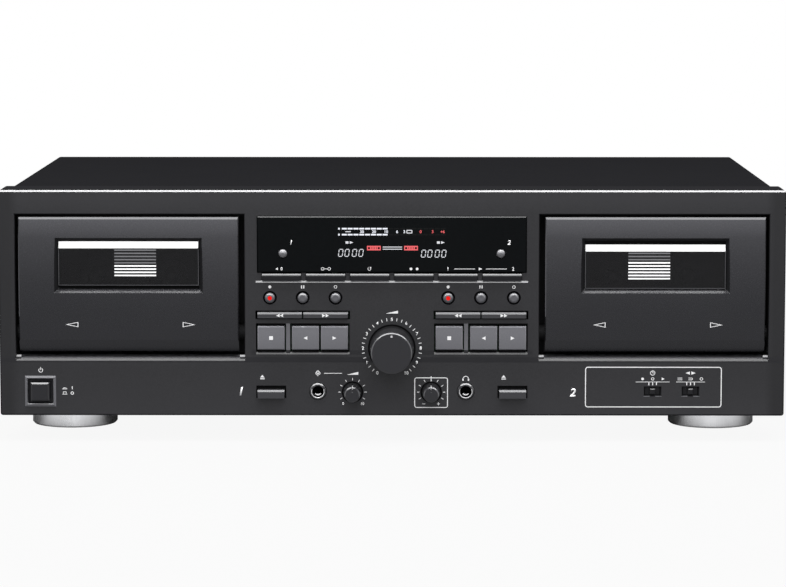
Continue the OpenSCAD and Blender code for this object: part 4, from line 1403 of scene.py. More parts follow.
@dataclass
class StudioSet:
    """Camera, lamps, floor and background."""

    camera_place: Triple = (11.44, -1889.26, 282.57)
    camera_turn: Triple = (83.547, 0.0, 0.35)
    lens: float = 147.2
    sensor: float = 36.0
    view_end: float = 50.0
    ambient: float = 0.45
    floor_half: float = 6000.0
    floor_tone: Colour = (0.3, 0.3, 0.3)
    floor_fibre: float = 5.0
    floor_white: float = 0.92
    floor_near: float = 500.0
    floor_far: float = 1100.0
    shade_low: Point = (-340.0, -85.0)
    shade_high: Point = (340.0, 150.0)
    shade_soft: float = 50.0
    shade_share: float = 0.06
    lamps: tuple[Lamp, ...] = (
        Lamp("lamp_top", (0.0, -400.0, 1340.0), (3200.0, 400.0), 32.0, (0.0, -123.0, 100.0)),
        Lamp("lamp_front", (0.0, -2013.0, 1218.0), (1400.0, 2430.0), 31.0, (0.0, -123.0, 90.0)),
    )

    def build(self) -> None:
        """Set up the whole studio."""
        self._camera()
        self._world()
        self._floor()
        for lamp in self.lamps:
            self._hang(lamp)
        bpy.context.scene.view_settings.view_transform = "Standard"
        LOG.info("studio set up")

    def _camera(self) -> None:
        """Stand the camera where the photograph was taken."""
        data = bpy.data.cameras.new("camera")
        data.lens = self.lens
        data.sensor_width = self.sensor
        data.clip_end = self.view_end
        camera = placed(data, "camera")
        camera.location = Vector(self.camera_place) * MM
        camera.rotation_euler = [math.radians(angle) for angle in self.camera_turn]
        bpy.context.scene.camera = camera

    def _seen(self, graph: Graph) -> Sock:
        """Tell the rays that show the background from those that light the deck.

        Args:
            graph: The graph that asks.

        Returns:
            1 for the rays that show it.
        """
        path = graph.add("ShaderNodeLightPath")
        seen = graph.out(path, "Is Camera Ray").larger(graph.out(path, "Is Glossy Ray"))
        return seen.larger(graph.out(path, "Is Transmission Ray"))

    def _world(self) -> None:
        """Make a white background that lights the deck softly."""
        world = bpy.data.worlds.new("studio")
        world.use_nodes = True
        bpy.context.scene.world = world
        graph = Graph(world.node_tree)
        strength = self._seen(graph) * (1.0 - self.ambient) + self.ambient
        light = graph.add("ShaderNodeBackground", None, {"Color": rgba(WHITE), "Strength": strength})
        graph.add("ShaderNodeOutputWorld", None, {"Surface": light.outputs[0]})

    def _floor(self) -> None:
        """Lay a pale floor that keeps the deck's shadow."""
        mesh = bpy.data.meshes.new("floor")
        half = self.floor_half * MM
        corners = [(-half, -half, 0.0), (half, -half, 0.0), (half, half, 0.0), (-half, half, 0.0)]
        mesh.from_pydata(corners, [], [(0, 1, 2, 3)])
        floor = placed(mesh, "floor")
        board = Board("floor_paper")
        fibre = board.noise(self.floor_fibre, 3.0)
        path = board.add("ShaderNodeLightPath")
        # painted shade: metal and gloss see the floor under and beside the deck much darker
        shade = board.boxed((*self.shade_low, None), (*self.shade_high, None), self.shade_soft)
        shaded = shade * board.out(path, "Is Glossy Ray")
        tone = board.blend(fibre, scaled(self.floor_tone, 0.98), self.floor_tone)
        tone = board.blend(shaded, tone, scaled(self.floor_tone, self.shade_share))
        paper = board.add("ShaderNodeBsdfDiffuse", None, {"Color": tone})
        white = board.add("ShaderNodeEmission", None, {"Color": rgba(WHITE), "Strength": 1.0})
        reach = board.add("ShaderNodeVectorMath", {"operation": "LENGTH"}, {0: board.place})
        away = board.out(reach, "Value") - self.floor_near * MM
        far = (away / ((self.floor_far - self.floor_near) * MM)).clamped()
        clear = far * (1.0 - self.floor_white) + self.floor_white
        mixed = board.add(
            "ShaderNodeMixShader",
            None,
            {0: self._seen(board) * clear * (1.0 - shaded), 1: paper.outputs[0], 2: white.outputs[0]},
        )
        board.add("ShaderNodeOutputMaterial", None, {"Surface": mixed.outputs[0]})
        mesh.materials.append(board.material)

    @staticmethod
    def _hang(lamp: Lamp) -> None:
        """Hang one lamp.

        Args:
            lamp: What it is and where it hangs.
        """
        data = bpy.data.lights.new(lamp.name, "AREA")
        data.shape = "RECTANGLE"
        data.size = lamp.size[0] * MM
        data.size_y = lamp.size[1] * MM
        data.energy = lamp.power
        light = placed(data, lamp.name)
        light.location = Vector(lamp.place) * MM
        facing = (Vector(lamp.aim) - Vector(lamp.place)).normalized()
        light.rotation_euler = facing.to_track_quat("-Z", "Y").to_euler()


@dataclass
class CaseShell:
    """Panel, cover, chassis, feet, rear sockets and the screws that hold them."""

    head_radius: float = 2.8
    head_height: float = 2.0
    head_steps: int = 24
    head_rings: tuple[Point, ...] = (
        (0.97, -0.02), (1.0, 0.05), (1.0, 0.45), (0.93, 0.66), (0.78, 0.84), (0.5, 0.95), (0.25, 0.99),
    )
    head_spin: float = 0.61
    cross_arm: float = 0.56
    cross_half: float = 0.13
    cross_taper: float = 0.7
    cross_floor: float = 0.4
    cross_top: float = 1.3
    side_screw_y: tuple[float, ...] = (-53.5, 88.5)
    side_screw_x: float = 213.3
    side_screw_z: float = 22.6
    rear_screw_x: tuple[float, ...] = (-150.0, 0.0, 150.0)
    rear_screw_y: float = 139.5
    rear_screw_z: float = 133.0
    foot_x: float = 183.5
    foot_y: tuple[float, ...] = (-50.5, 93.5)
    foot_seat: float = 6.0
    foot_head: float = 4.2
    phono_low: Point = (-161.0, 38.0)
    phono_high: Point = (-123.0, 76.0)
    phono_x: Point = (-150.0, -134.0)
    phono_rise: float = 3.2
    rear_arrow: Point = (2.6, 2.2)
    rear_figures: Figures = (("1", 64.6), ("2", 48.6))
    rear_figure_x: float = -119.5
    rear_figure_height: float = 2.6

    def dress(self) -> None:
        """Give the fixed nodes their finishes."""
        PAINTS.dress(Coat.PANEL, ["front_panel"])
        PAINTS.dress(Coat.COVER, ["top_cover"])
        PAINTS.dress(Coat.CHASSIS, ["bottom_chassis"])
        PAINTS.dress(Coat.REAR, ["rear_panel"])
        PAINTS.dress(Coat.FOOT, ["feet"])
        PAINTS.dress(Coat.PHONO, ["line_jacks"])
        PAINTS.dress(Coat.RUBBER, ["cord_gland"])
        PAINTS.dress(Coat.CIRCUIT, ["control_board", "main_board"])
        PAINTS.dress(Coat.STEEL, ["power_transformer", "tape_drives"])
        PAINTS.dress(Coat.SCREW, ["case_screws"])

    def build(self) -> None:
        """Make the screws and the rear marks."""
        self._screws()
        self._rear_marks()

    def _head(self, radius: float, height: float) -> Object:
        """Turn one domed screw head with a cross recess.

        Args:
            radius: The head's radius in millimetres.
            height: Its height in millimetres.

        Returns:
            A scratch object with the head standing on the origin.
        """
        steps = self.head_steps
        shape = bmesh.new()
        loops = []
        for r, z in self.head_rings:
            loop = []
            for n in range(steps):
                angle = math.tau * n / steps
                place = (math.cos(angle) * r * radius, math.sin(angle) * r * radius, z * height)
                loop.append(shape.verts.new(Vector(place) * MM))
            loops.append(loop)
        for low, high in zip(loops, loops[1:]):
            for n in range(steps):
                m = (n + 1) % steps
                shape.faces.new((low[n], low[m], high[m], high[n]))
        shape.faces.new(list(reversed(loops[0])))
        shape.faces.new(loops[-1])
        head = placed(baked(shape, "head"), "head")
        cutter = self._cross(radius, height)
        cut = head.modifiers.new("recess", "BOOLEAN")
        cut.operation = "DIFFERENCE"
        cut.solver = "EXACT"
        cut.object = cutter
        seen = bpy.context.evaluated_depsgraph_get()
        cut_mesh = bpy.data.meshes.new_from_object(head.evaluated_get(seen))
        head.modifiers.clear()
        head.data = cut_mesh
        bpy.data.objects.remove(cutter)
        return head

    def _cross(self, radius: float, height: float) -> Object:
        """Make the cross-shaped cutter of a screw head.

        Args:
            radius: The head's radius in millimetres.
            height: Its height in millimetres.

        Returns:
            A scratch object.
        """
        arm, half = self.cross_arm * radius, self.cross_half * radius
        taper, floor, top = self.cross_taper, self.cross_floor * height, self.cross_top * height
        outline = [
            (half, half), (arm, half), (arm, -half), (half, -half), (half, -arm), (-half, -arm),
            (-half, -half), (-arm, -half), (-arm, half), (-half, half), (-half, arm), (half, arm),
        ]
        shape = bmesh.new()
        low = [shape.verts.new(Vector((x * taper, y * taper, floor)) * MM) for x, y in outline]
        high = [shape.verts.new(Vector((x, y, top)) * MM) for x, y in outline]
        for n in range(len(outline)):
            m = (n + 1) % len(outline)
            shape.faces.new((low[n], low[m], high[m], high[n]))
        shape.faces.new(low)
        shape.faces.new(high)
        bmesh.ops.recalc_face_normals(shape, faces=shape.faces[:])
        return placed(baked(shape, "cross"), "cross")

    def _screws(self) -> None:
        """Put detailed heads in place of the plain screws."""
        tree = ScrewSet()
        places: list[tuple[Triple, Triple]] = []
        for sign in SIDES.values():
            for y in self.side_screw_y:
                places.append(((sign * self.side_screw_x, y, self.side_screw_z), (float(sign), 0.0, 0.0)))
        for x in self.rear_screw_x:
            places.append(((x, self.rear_screw_y, self.rear_screw_z), (0.0, 1.0, 0.0)))
        feet = [
            ((sign * self.foot_x, y, self.foot_seat), (0.0, 0.0, -1.0))
            for sign in SIDES.values()
            for y in self.foot_y
        ]
        meshes = []
        for spots, radius in ((places, self.head_radius), (feet, self.foot_head)):
            head = self._head(radius, self.head_height)
            base = bpy.data.meshes.new("spots")
            base.from_pydata([Vector(place) * MM for place, _ in spots], [], [])
            axis = base.attributes.new("axis", "FLOAT_VECTOR", "POINT")
            for item, (_, way) in zip(axis.data, spots):
                item.vector = way
            values = {"Head": head, "Spin": self.head_spin, "Finish": PAINTS.get(Coat.SCREW)}
            meshes.append(tree.grow(base, values))
            bpy.data.objects.remove(head)
        joined = bmesh.new()
        for mesh in meshes:
            joined.from_mesh(mesh)
        whole = baked(joined, "screw_heads")
        whole.materials.append(PAINTS.get(Coat.SCREW))
        piece = settle(whole, "screw_heads", "case")
        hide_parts("case_screws")

    def _rear_marks(self) -> None:
        """Draw a frame, arrows and figures round the rear sockets."""
        marks = Print(Skin(["rear_panel"], back=True))
        low, high = self.phono_low, self.phono_high
        middle = (low[0] + high[0]) / 2
        marks.frame(low, high, 0.5, 2.0)
        marks.bar((middle, low[1] + 3), (middle, high[1] - 3), 0.35)
        z = high[1] + self.phono_rise
        for n, x in enumerate(self.phono_x):
            marks.arrow((x, z), *self.rear_arrow, n == 0)
            marks.bar((x - 4, z), (x + 4, z), 0.4)
        for words, z in self.rear_figures:
            marks.text(words, (self.rear_figure_x, z), self.rear_figure_height)
        marks.finish("rear_marks", "case", Coat.INK)


@dataclass
class CassetteBays:
    """Doors with their lenses, wells, holders, reels and heads."""

    lens_centre: float = 145.6
    band_half: float = 38.55
    band_rise: dict[str, float] = field(default_factory=lambda: {"left": 1.6, "right": 0.0})
    band_low: float = 106.28
    band_high: float = 109.92
    band_lift: float = 0.05
    sight_x: dict[str, float] = field(default_factory=lambda: {"left": -141.86, "right": 142.18})
    sight_y: float = -122.9
    sight_low: float = 91.14
    sight_pitch: float = 1.7563
    sight_size: Triple = (23.08, 0.1, 0.8)
    bright_bars: dict[str, int] = field(default_factory=lambda: {"left": 4, "right": 6})
    sight_bars: int = 9
    window_half: float = 39.05
    window_low: float = 85.2
    window_high: float = 112.1
    rim_inner: float = 0.1
    rim_foot: float = 1.8
    rim_head: float = 1.5
    rim_rise: float = 0.2
    rim_drop: float = 1.2
    rim_mitre: float = 0.1
    gap_edge: float = 0.05
    gap_pane: float = 0.1
    gap_least: float = 0.3
    pane_low: float = 85.5
    pane_height: float = 24.7
    pane_half: float = 38.6
    edge_line: float = 0.2
    edge_start: float = 0.15
    edge_stop: float = 0.4
    arrow_shift: dict[str, float] = field(default_factory=lambda: {"left": 0.95, "right": 1.5})
    arrow_out: float = 32.4
    arrow_z: float = 65.5
    arrow_size: Point = (7.0, 3.0)
    arrow_line: float = 0.33

    def dress(self) -> None:
        """Give the bays' nodes their finishes."""
        for side in SIDES:
            PAINTS.dress(Coat.DOOR, [f"door_panel_{side}"])
            PAINTS.dress(Coat.LENS, [f"door_window_{side}"])
            PAINTS.dress(Coat.HOLDER, [f"cassette_holder_{side}"])
            PAINTS.dress(Coat.REEL, [f"supply_reel_{side}", f"takeup_reel_{side}"])
            PAINTS.dress(Coat.HEAD, [f"head_plate_{side}"])
        PAINTS.dress(Coat.DARK, ["mechanism_frames"])

    def build(self) -> None:
        """Add the glowing bands, the painted shade round the windows, the painted highlights on the lens
        edges, the arrows and the sight bars.
        """
        row = BarRow()
        for side in SIDES:
            self._painted_light_band(side)
            self._window_shades(side)
            self._pane_edge_highlights(side)
            self._door_marks(side)
            self._sight_bars(row, side)

    def _centre(self, side: str) -> float:
        """Find the middle of a lens."""
        return SIDES[side] * self.lens_centre

    def _painted_light_band(self, side: str) -> None:
        """Lay a white band that glows, as painted light, on the sloping top of a lens.

        Args:
            side: Which deck.
        """
        band = Print(Skin([f"door_window_{side}"]), self.band_lift)
        rise = self.band_rise[side]
        centre = self._centre(side)
        low, high = self.band_low + rise, self.band_high + rise
        band.block((centre - self.band_half, low), (centre + self.band_half, high))
        band.fold(between(low, high))
        band.finish(f"lens_band_{side}", f"{side}_door", Coat.BAND)

    def _window_shades(self, side: str) -> None:
        """Darken a window's top and side bevels, and the gaps that its lens leaves, with painted shade.

        Args:
            side: Which deck.
        """
        centre = self._centre(side)
        inner = self.window_half + self.rim_inner
        head = self.window_half + self.rim_head
        foot = self.window_half + self.rim_foot
        low, high = self.window_low, self.window_high
        rim = Print(Skin([f"door_panel_{side}"]))
        for way in (-1, 1):
            rim.area(
                [
                    (centre + way * inner, low + self.rim_rise),
                    (centre + way * inner, high),
                    (centre + way * head, high + self.rim_head - self.rim_mitre),
                    (centre + way * foot, low - self.rim_drop),
                ]
            )
        near, far = high + self.rim_inner, high + self.rim_head
        rim.area(
            [
                (centre - inner, near), (centre + inner, near),
                (centre + head - self.rim_mitre, far), (centre - head + self.rim_mitre, far),
            ]
        )
        rim.finish(f"window_gasket_{side}", f"{side}_door", Coat.WINDOW_RIM)
        pane = self.pane_low + self.band_rise[side]
        shadows = (
            (low + self.gap_edge, pane - self.gap_pane),
            (pane + self.pane_height + self.gap_pane, high - self.gap_edge),
        )
        gap = Print(Skin([f"door_window_{side}"]))
        for start, end in shadows:
            if end - start > self.gap_least:
                gap.bar((centre, start), (centre, end), 2 * self.window_half - 2 * self.gap_pane)
        gap.finish(f"lens_gasket_{side}", f"{side}_door", Coat.GASKET)

    def _pane_edge_highlights(self, side: str) -> None:
        """Draw a painted highlight on the cut edge of a lens, along its sides and its foot.

        Args:
            side: Which deck.
        """
        centre = self._centre(side)
        low = self.pane_low + self.band_rise[side] + self.edge_start
        high = self.band_low + self.band_rise[side] - self.edge_stop
        foot = low + self.edge_line / 2
        inner = self.pane_half - self.edge_line
        line = Print(Skin([f"door_window_{side}"]))
        for way in (-1, 1):
            x = centre + way * self.pane_half
            line.bar((x, low), (x, high), self.edge_line)
        line.bar((centre - inner, foot), (centre + inner, foot), self.edge_line)
        line.fold(between(low, high))
        line.finish(f"lens_edge_{side}", f"{side}_door", Coat.LENS_EDGE)

    def _door_marks(self, side: str) -> None:
        """Print the two arrows on a door.

        Args:
            side: Which deck.
        """
        centre = self._centre(side) + self.arrow_shift[side]
        marks = Print(Skin([f"door_panel_{side}"]))
        for way in (-1, 1):
            spot = (centre + way * self.arrow_out, self.arrow_z)
            marks.hollow_arrow(spot, self.arrow_size, self.arrow_line, way > 0)
        marks.finish(f"door_arrows_{side}", f"{side}_door", Coat.INK)

    def _sight_bars(self, row: BarRow, side: str) -> None:
        """Lay the sight bars on the front of a lens; they glow as painted light.

        Args:
            row: The tree that repeats a bar.
            side: Which deck.
        """
        low = self.sight_low + self.band_rise[side]
        bright = self.bright_bars[side]
        parts = ((bright, 0, Coat.SIGHT_BRIGHT), (self.sight_bars - bright, bright, Coat.SIGHT_SOFT))
        for count, first, coat in parts:
            start = (self.sight_x[side], self.sight_y, low + first * self.sight_pitch)
            mesh = row.lay(count, start, (0.0, 0.0, self.sight_pitch), self.sight_size, coat)
            settle(mesh, f"{coat.value.name}_{side}", f"{side}_door")


@dataclass
class DisplayBlock:
    """The display's lens, its lit signs and the keys below and beside it."""

    bar_first: float = -26.2
    bar_pitch: float = 3.21
    bar_size: Triple = (2.75, 0.06, 0.85)
    lit: int = 8
    unlit: int = 10
    bar_rows: Point = (118.9, 115.6)
    lens_front: float = -124.3
    figure_z: float = 117.25
    figure_height: float = 1.55
    white_figures: Figures = (
        ("30", -16.5), ("20", -9.85), ("10", -3.2), ("6", 2.9), ("3", 6.9),
    )
    red_figures: Figures = (("0", 15.9), ("3", 22.5), ("+6", 28.0))
    channel_x: Point = (-29.6, -28.7)
    channel_half: float = 0.5
    counter_x: Point = (-22.6, 23.1)
    counter_z: Point = (105.5, 105.1)
    digit: Point = (2.15, 3.9)
    digit_places: tuple[float, ...] = (-5.6, -2.1, 2.0, 5.6)
    digit_lean: float = 0.14
    digit_line: float = 0.42
    digit_gap: float = 0.24
    run_x: Point = (-24.6, 25.8)
    run_z: Point = (110.6, 111.9)
    run_arrow: Point = (2.0, 1.5)
    minus_x: Point = (-25.6, -22.6)
    unit_low: Point = (8.3, 116.5)
    unit_high: Point = (11.1, 118.0)
    stripe_x: Point = (-5.0, 5.7)
    stripe_z: Point = (107.55, 108.75)
    stripe_line: float = 0.42
    box_x: tuple[Point, ...] = ((-13.7, -6.1), (6.8, 14.4))
    box_z: Point = (106.9, 109.4)
    box_lift: float = 0.06
    box_dot: float = 0.62
    box_inset: float = 1.1
    stroke_count: int = 4
    stroke_pitch: float = 0.95
    stroke_line: float = 0.26
    deck_figures: Figures = (("1", -55.8), ("2", 64.6))
    deck_figure_z: float = 111.3
    deck_figure_height: float = 2.4
    mark_z: float = 96.6
    mark_height: float = 1.7
    mark_line: float = 0.3
    clear_x: float = 60.2
    clear_z: float = 105.1
    clear_radius: float = 2.4
    clear_front: float = -125.5
    clear_nose: float = 1.7
    clear_steps: int = 9
    clear_back: tuple[Point, ...] = (
        (2.4, -119.6), (3.5, -119.6), (3.5, -118.6), (1.5, -118.6), (1.5, -110.0), (0.0, -110.0),
    )

    def dress(self) -> None:
        """Give the display's nodes their finishes."""
        PAINTS.dress(Coat.DISPLAY, ["display_window"])
        PAINTS.dress(Coat.TUBE, ["display_tube"])
        keys = ["zero_key", "sync_key", "repeat_key", "dual_record_key", "copy_normal_key", "copy_fast_key"]
        PAINTS.dress(Coat.DARK_KEY, keys)

    def build(self) -> None:
        """Make the counter buttons and add everything that the display shows."""
        skin = Skin(["display_window"])
        self._clear_buttons()
        self._meter()
        self._figures(skin)
        self._counters(skin)
        self._signs(skin)

    def _clear_buttons(self) -> None:
        """Turn the two round-nosed counter buttons with their flanges and stems."""
        profile = []
        for step in range(self.clear_steps + 1):
            angle = math.radians(90.0 * step / self.clear_steps)
            y = self.clear_front + self.clear_nose * (1 - math.cos(angle))
            profile.append((self.clear_radius * math.sin(angle), y))
        profile.extend(self.clear_back)
        for side, sign in SIDES.items():
            node = f"clear_button_{side}"
            centre = (sign * self.clear_x, self.clear_z)
            mesh = turned(f"clear_cap_{side}", profile, centre, Coat.SILVER_KEY)
            piece = settle(mesh, f"clear_cap_{side}", node)
            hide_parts(node)

    def _meter(self) -> None:
        """Lay out the lit and unlit bars of the two meters."""
        row = BarRow()
        parts = ((self.lit, 0, Coat.GLOW_WHITE), (self.unlit, self.lit, Coat.GLOW_DIM))
        for n, z in enumerate(self.bar_rows):
            for count, first, coat in parts:
                start = (self.bar_first + first * self.bar_pitch, self.lens_front, z)
                mesh = row.lay(count, start, (self.bar_pitch, 0.0, 0.0), self.bar_size, coat)
                settle(mesh, f"meter_{n + 1}_{coat.value.name}", "case")

    def _figures(self, skin: Skin) -> None:
        """Set the meter's scale.

        Args:
            skin: The lens.
        """
        white = Print(skin)
        for words, x in self.white_figures:
            white.text(words, (x, self.figure_z), self.figure_height)
        left, right = self.channel_x
        for z in self.bar_rows:
            white.block((left, z - self.channel_half), (right, z + self.channel_half))
        white.finish("scale_figures_white", "case", Coat.GLOW_WHITE)
        red = Print(skin)
        for words, x in self.red_figures:
            red.text(words, (x, self.figure_z), self.figure_height)
        red.finish("scale_figures_red", "case", Coat.GLOW_RED)

    def _counters(self, skin: Skin) -> None:
        """Draw both tape counters as leaning seven-bar zeros.

        Args:
            skin: The lens.
        """
        glow = Print(skin)
        wide, tall = self.digit
        for x, z in zip(self.counter_x, self.counter_z):
            for place in self.digit_places:
                left = x + place - wide / 2
                ends = []
                for across, up in ((0, -1), (0, 0), (0, 1), (1, -1), (1, 0), (1, 1)):
                    ends.append((left + across * wide + up * tall / 2 * self.digit_lean, z + up * tall / 2))
                for a, b in ((0, 1), (1, 2), (3, 4), (4, 5), (0, 3), (2, 5)):
                    self._segment(glow, ends[a], ends[b])
        glow.finish("counter_zeros", "case", Coat.GLOW_SOFT)

    def _segment(self, glow: Print, start: Point, end: Point) -> None:
        """Draw one bar of a figure, a little short of its corners.

        Args:
            glow: The sheet.
            start: One corner.
            end: The other corner.
        """
        way = Vector((end[0] - start[0], end[1] - start[1])).normalized() * self.digit_gap
        glow.bar((start[0] + way.x, start[1] + way.y), (end[0] - way.x, end[1] - way.y), self.digit_line)

    def _signs(self, skin: Skin) -> None:
        """Draw the small running signs, the red boxes and the marks over the keys.

        Args:
            skin: The lens.
        """
        white = Print(skin)
        low, high = self.run_z
        for x in self.run_x:
            white.block((x - 0.9, low), (x + 0.7, high))
            white.arrow((x + 2.4, (low + high) / 2), *self.run_arrow, True)
        white.bar((self.minus_x[0], self.figure_z), (self.minus_x[1], self.figure_z), 0.5)
        white.frame(self.unit_low, self.unit_high, 0.45, 0.2)
        for z in self.stripe_z:
            white.bar((self.stripe_x[0], z), (self.stripe_x[1], z), self.stripe_line)
        white.finish("running_signs", "case", Coat.GLOW_SOFT)
        red = Print(skin)
        dark = Print(skin, self.box_lift)
        low, high = self.box_z
        for left, right in self.box_x:
            red.block((left, low), (right, high))
            for place in (left + self.box_inset, right - self.box_inset):
                dark.dot((place, (low + high) / 2), self.box_dot)
            for n in range(self.stroke_count):
                x = (left + right) / 2 + (n - (self.stroke_count - 1) / 2) * self.stroke_pitch
                dark.bar((x, self.stripe_z[0]), (x, self.stripe_z[1]), self.stroke_line)
        red.finish("record_boxes", "case", Coat.GLOW_RED)
        dark.finish("record_box_dots", "case", Coat.GASKET)
        ink = Print(skin)
        for words, x in self.deck_figures:
            ink.text(words, (x, self.deck_figure_z), self.deck_figure_height, ITALIC)
        self._key_marks(ink)
        ink.finish("display_marks", "case", Coat.INK)

    def _key_marks(self, ink: Print) -> None:
        """Draw a small sign over each key of the row.

        Args:
            ink: The sheet.
        """
        z, tall, line = self.mark_z, self.mark_height, self.mark_line
        ink.text("0", (-60.9, z), tall)
        ink.arrow((-63.6, z), 1.3, 1.5, False)
        for x in (-38.2, -34.6):
            ink.ring((x, z), 0.75, line)
        ink.bar((-37.4, z), (-35.4, z), line)
        ink.ring((-12.4, z), 0.8, line, (40.0, 330.0))
        ink.arrow((-11.6, z + 0.75), 0.9, 0.9, True)
        for x in (10.6, 14.0):
            ink.dot((x, z), 0.75)
        ink.text("1", (31.0, z), tall)
        ink.text("2", (67.0, z), tall)
        for start, end in ((34.5, 46.0), (52.0, 63.5)):
            ink.bar((start, z), (end, z), line)
        ink.arrow((49.0, z), 2.0, 1.6, True)


@dataclass
class TransportKeys:
    """Round buttons, wind keys and tape keys of both decks."""

    sign_height: float = 2.1
    wind_sign: Point = (1.85, 1.8)
    wind_shift: float = 0.98
    wind_drop: float = 0.1
    wind_edge: float = 0.6
    dot_radius: float = 1.2
    label_z: float = 86.5
    label_half: float = 0.85
    label_ring: float = 0.75
    label_line: float = 0.34
    pause_shift: float = 0.6
    pause_line: float = 0.6
    eject_shift: float = 4.9
    eject_half: float = 1.2
    eject_foot: float = 35.9
    eject_tip: float = 37.4
    eject_bar: float = 35.2
    eject_line: float = 0.5
    round_profile: tuple[Point, ...] = (
        (0.0, -125.04), (1.0, -125.06), (1.62, -125.1), (1.84, -125.05), (2.58, -124.4),
        (2.75, -124.15), (2.8, -123.85), (2.8, -120.8), (3.9, -120.8), (3.9, -119.6),
        (1.5, -119.6), (1.5, -110.0), (0.0, -110.0),
    )

    def dress(self) -> None:
        """Give the keys their finishes."""
        for side in SIDES:
            PAINTS.dress(Coat.KEY, [f"{key}_key_{side}" for key in ("stop", "reverse", "play")])
            PAINTS.dress(Coat.WIND_KEY, [f"{key}_key_{side}" for key in ("rewind", "forward")])
            PAINTS.dress(Coat.EJECT_KEY, [f"eject_key_{side}"])

    def build(self) -> None:
        """Make the round buttons and print the keys' signs and labels."""
        for side in SIDES:
            for key in ("stop", "reverse", "play", "rewind", "forward"):
                self._sign(f"{key}_key_{side}", key)
            for key in ("record", "pause", "mute"):
                self._round_button(f"{key}_button_{side}", key == "record")
        self._labels()

    def _round_button(self, name: str, dotted: bool) -> None:
        """Turn one round button with its shoulder, flange and stem.

        Args:
            name: The button's node and body.
            dotted: Whether it carries the red dot.
        """
        centre = self._middle(name)
        mesh = turned(f"{name}_cap", self.round_profile, centre, Coat.ROUND_KEY)
        piece = settle(mesh, f"{name}_cap", name)
        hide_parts(name)
        if dotted:
            dot = Print(Skin([mesh]))
            dot.dot(centre, self.dot_radius)
            dot.finish(f"{name}_dot", name, Coat.RED_INK)

    @staticmethod
    def _middle(name: str) -> Point:
        """Find the middle of a key's front, in millimetres."""
        low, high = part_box(name)
        return ((low.x + high.x) / 2 / MM, (low.z + high.z) / 2 / MM)

    def _sign(self, name: str, key: str) -> None:
        """Print one key's sign.

        Args:
            name: The key's node and body.
            key: What the key does.
        """
        x, z = self._middle(name)
        half = self.sign_height / 2
        ink = Print(Skin([name]))
        if key == "stop":
            ink.block((x - half, z - half), (x + half, z + half))
        elif key in ("reverse", "play"):
            ink.arrow((x, z), self.sign_height, self.sign_height, key == "play")
        else:
            for shift in (-self.wind_shift, self.wind_shift):
                ink.arrow((x + shift, z - self.wind_drop), *self.wind_sign, key == "forward")
            ink.fold([z + self.wind_edge])
        ink.finish(f"{name}_sign", name, Coat.INK)

    def _labels(self) -> None:
        """Print the round buttons' and eject keys' signs on the panel."""
        ink = Print(Skin(["front_panel"]))
        z, half = self.label_z, self.label_half
        for side in SIDES:
            x, _ = self._middle(f"record_button_{side}")
            ink.dot((x, z), half)
            x, _ = self._middle(f"pause_button_{side}")
            for shift in (-self.pause_shift, self.pause_shift):
                ink.bar((x + shift, z - half), (x + shift, z + half), self.pause_line)
            x, _ = self._middle(f"mute_button_{side}")
            ink.ring((x, z), self.label_ring, self.label_line)
            x, _ = self._middle(f"eject_key_{side}")
            x -= self.eject_shift
            left, right = x - self.eject_half, x + self.eject_half
            ink.area([(left, self.eject_foot), (right, self.eject_foot), (x, self.eject_tip)])
            ink.bar((left, self.eject_bar), (right, self.eject_bar), self.eject_line)
        ink.finish("key_labels", "case", Coat.INK)


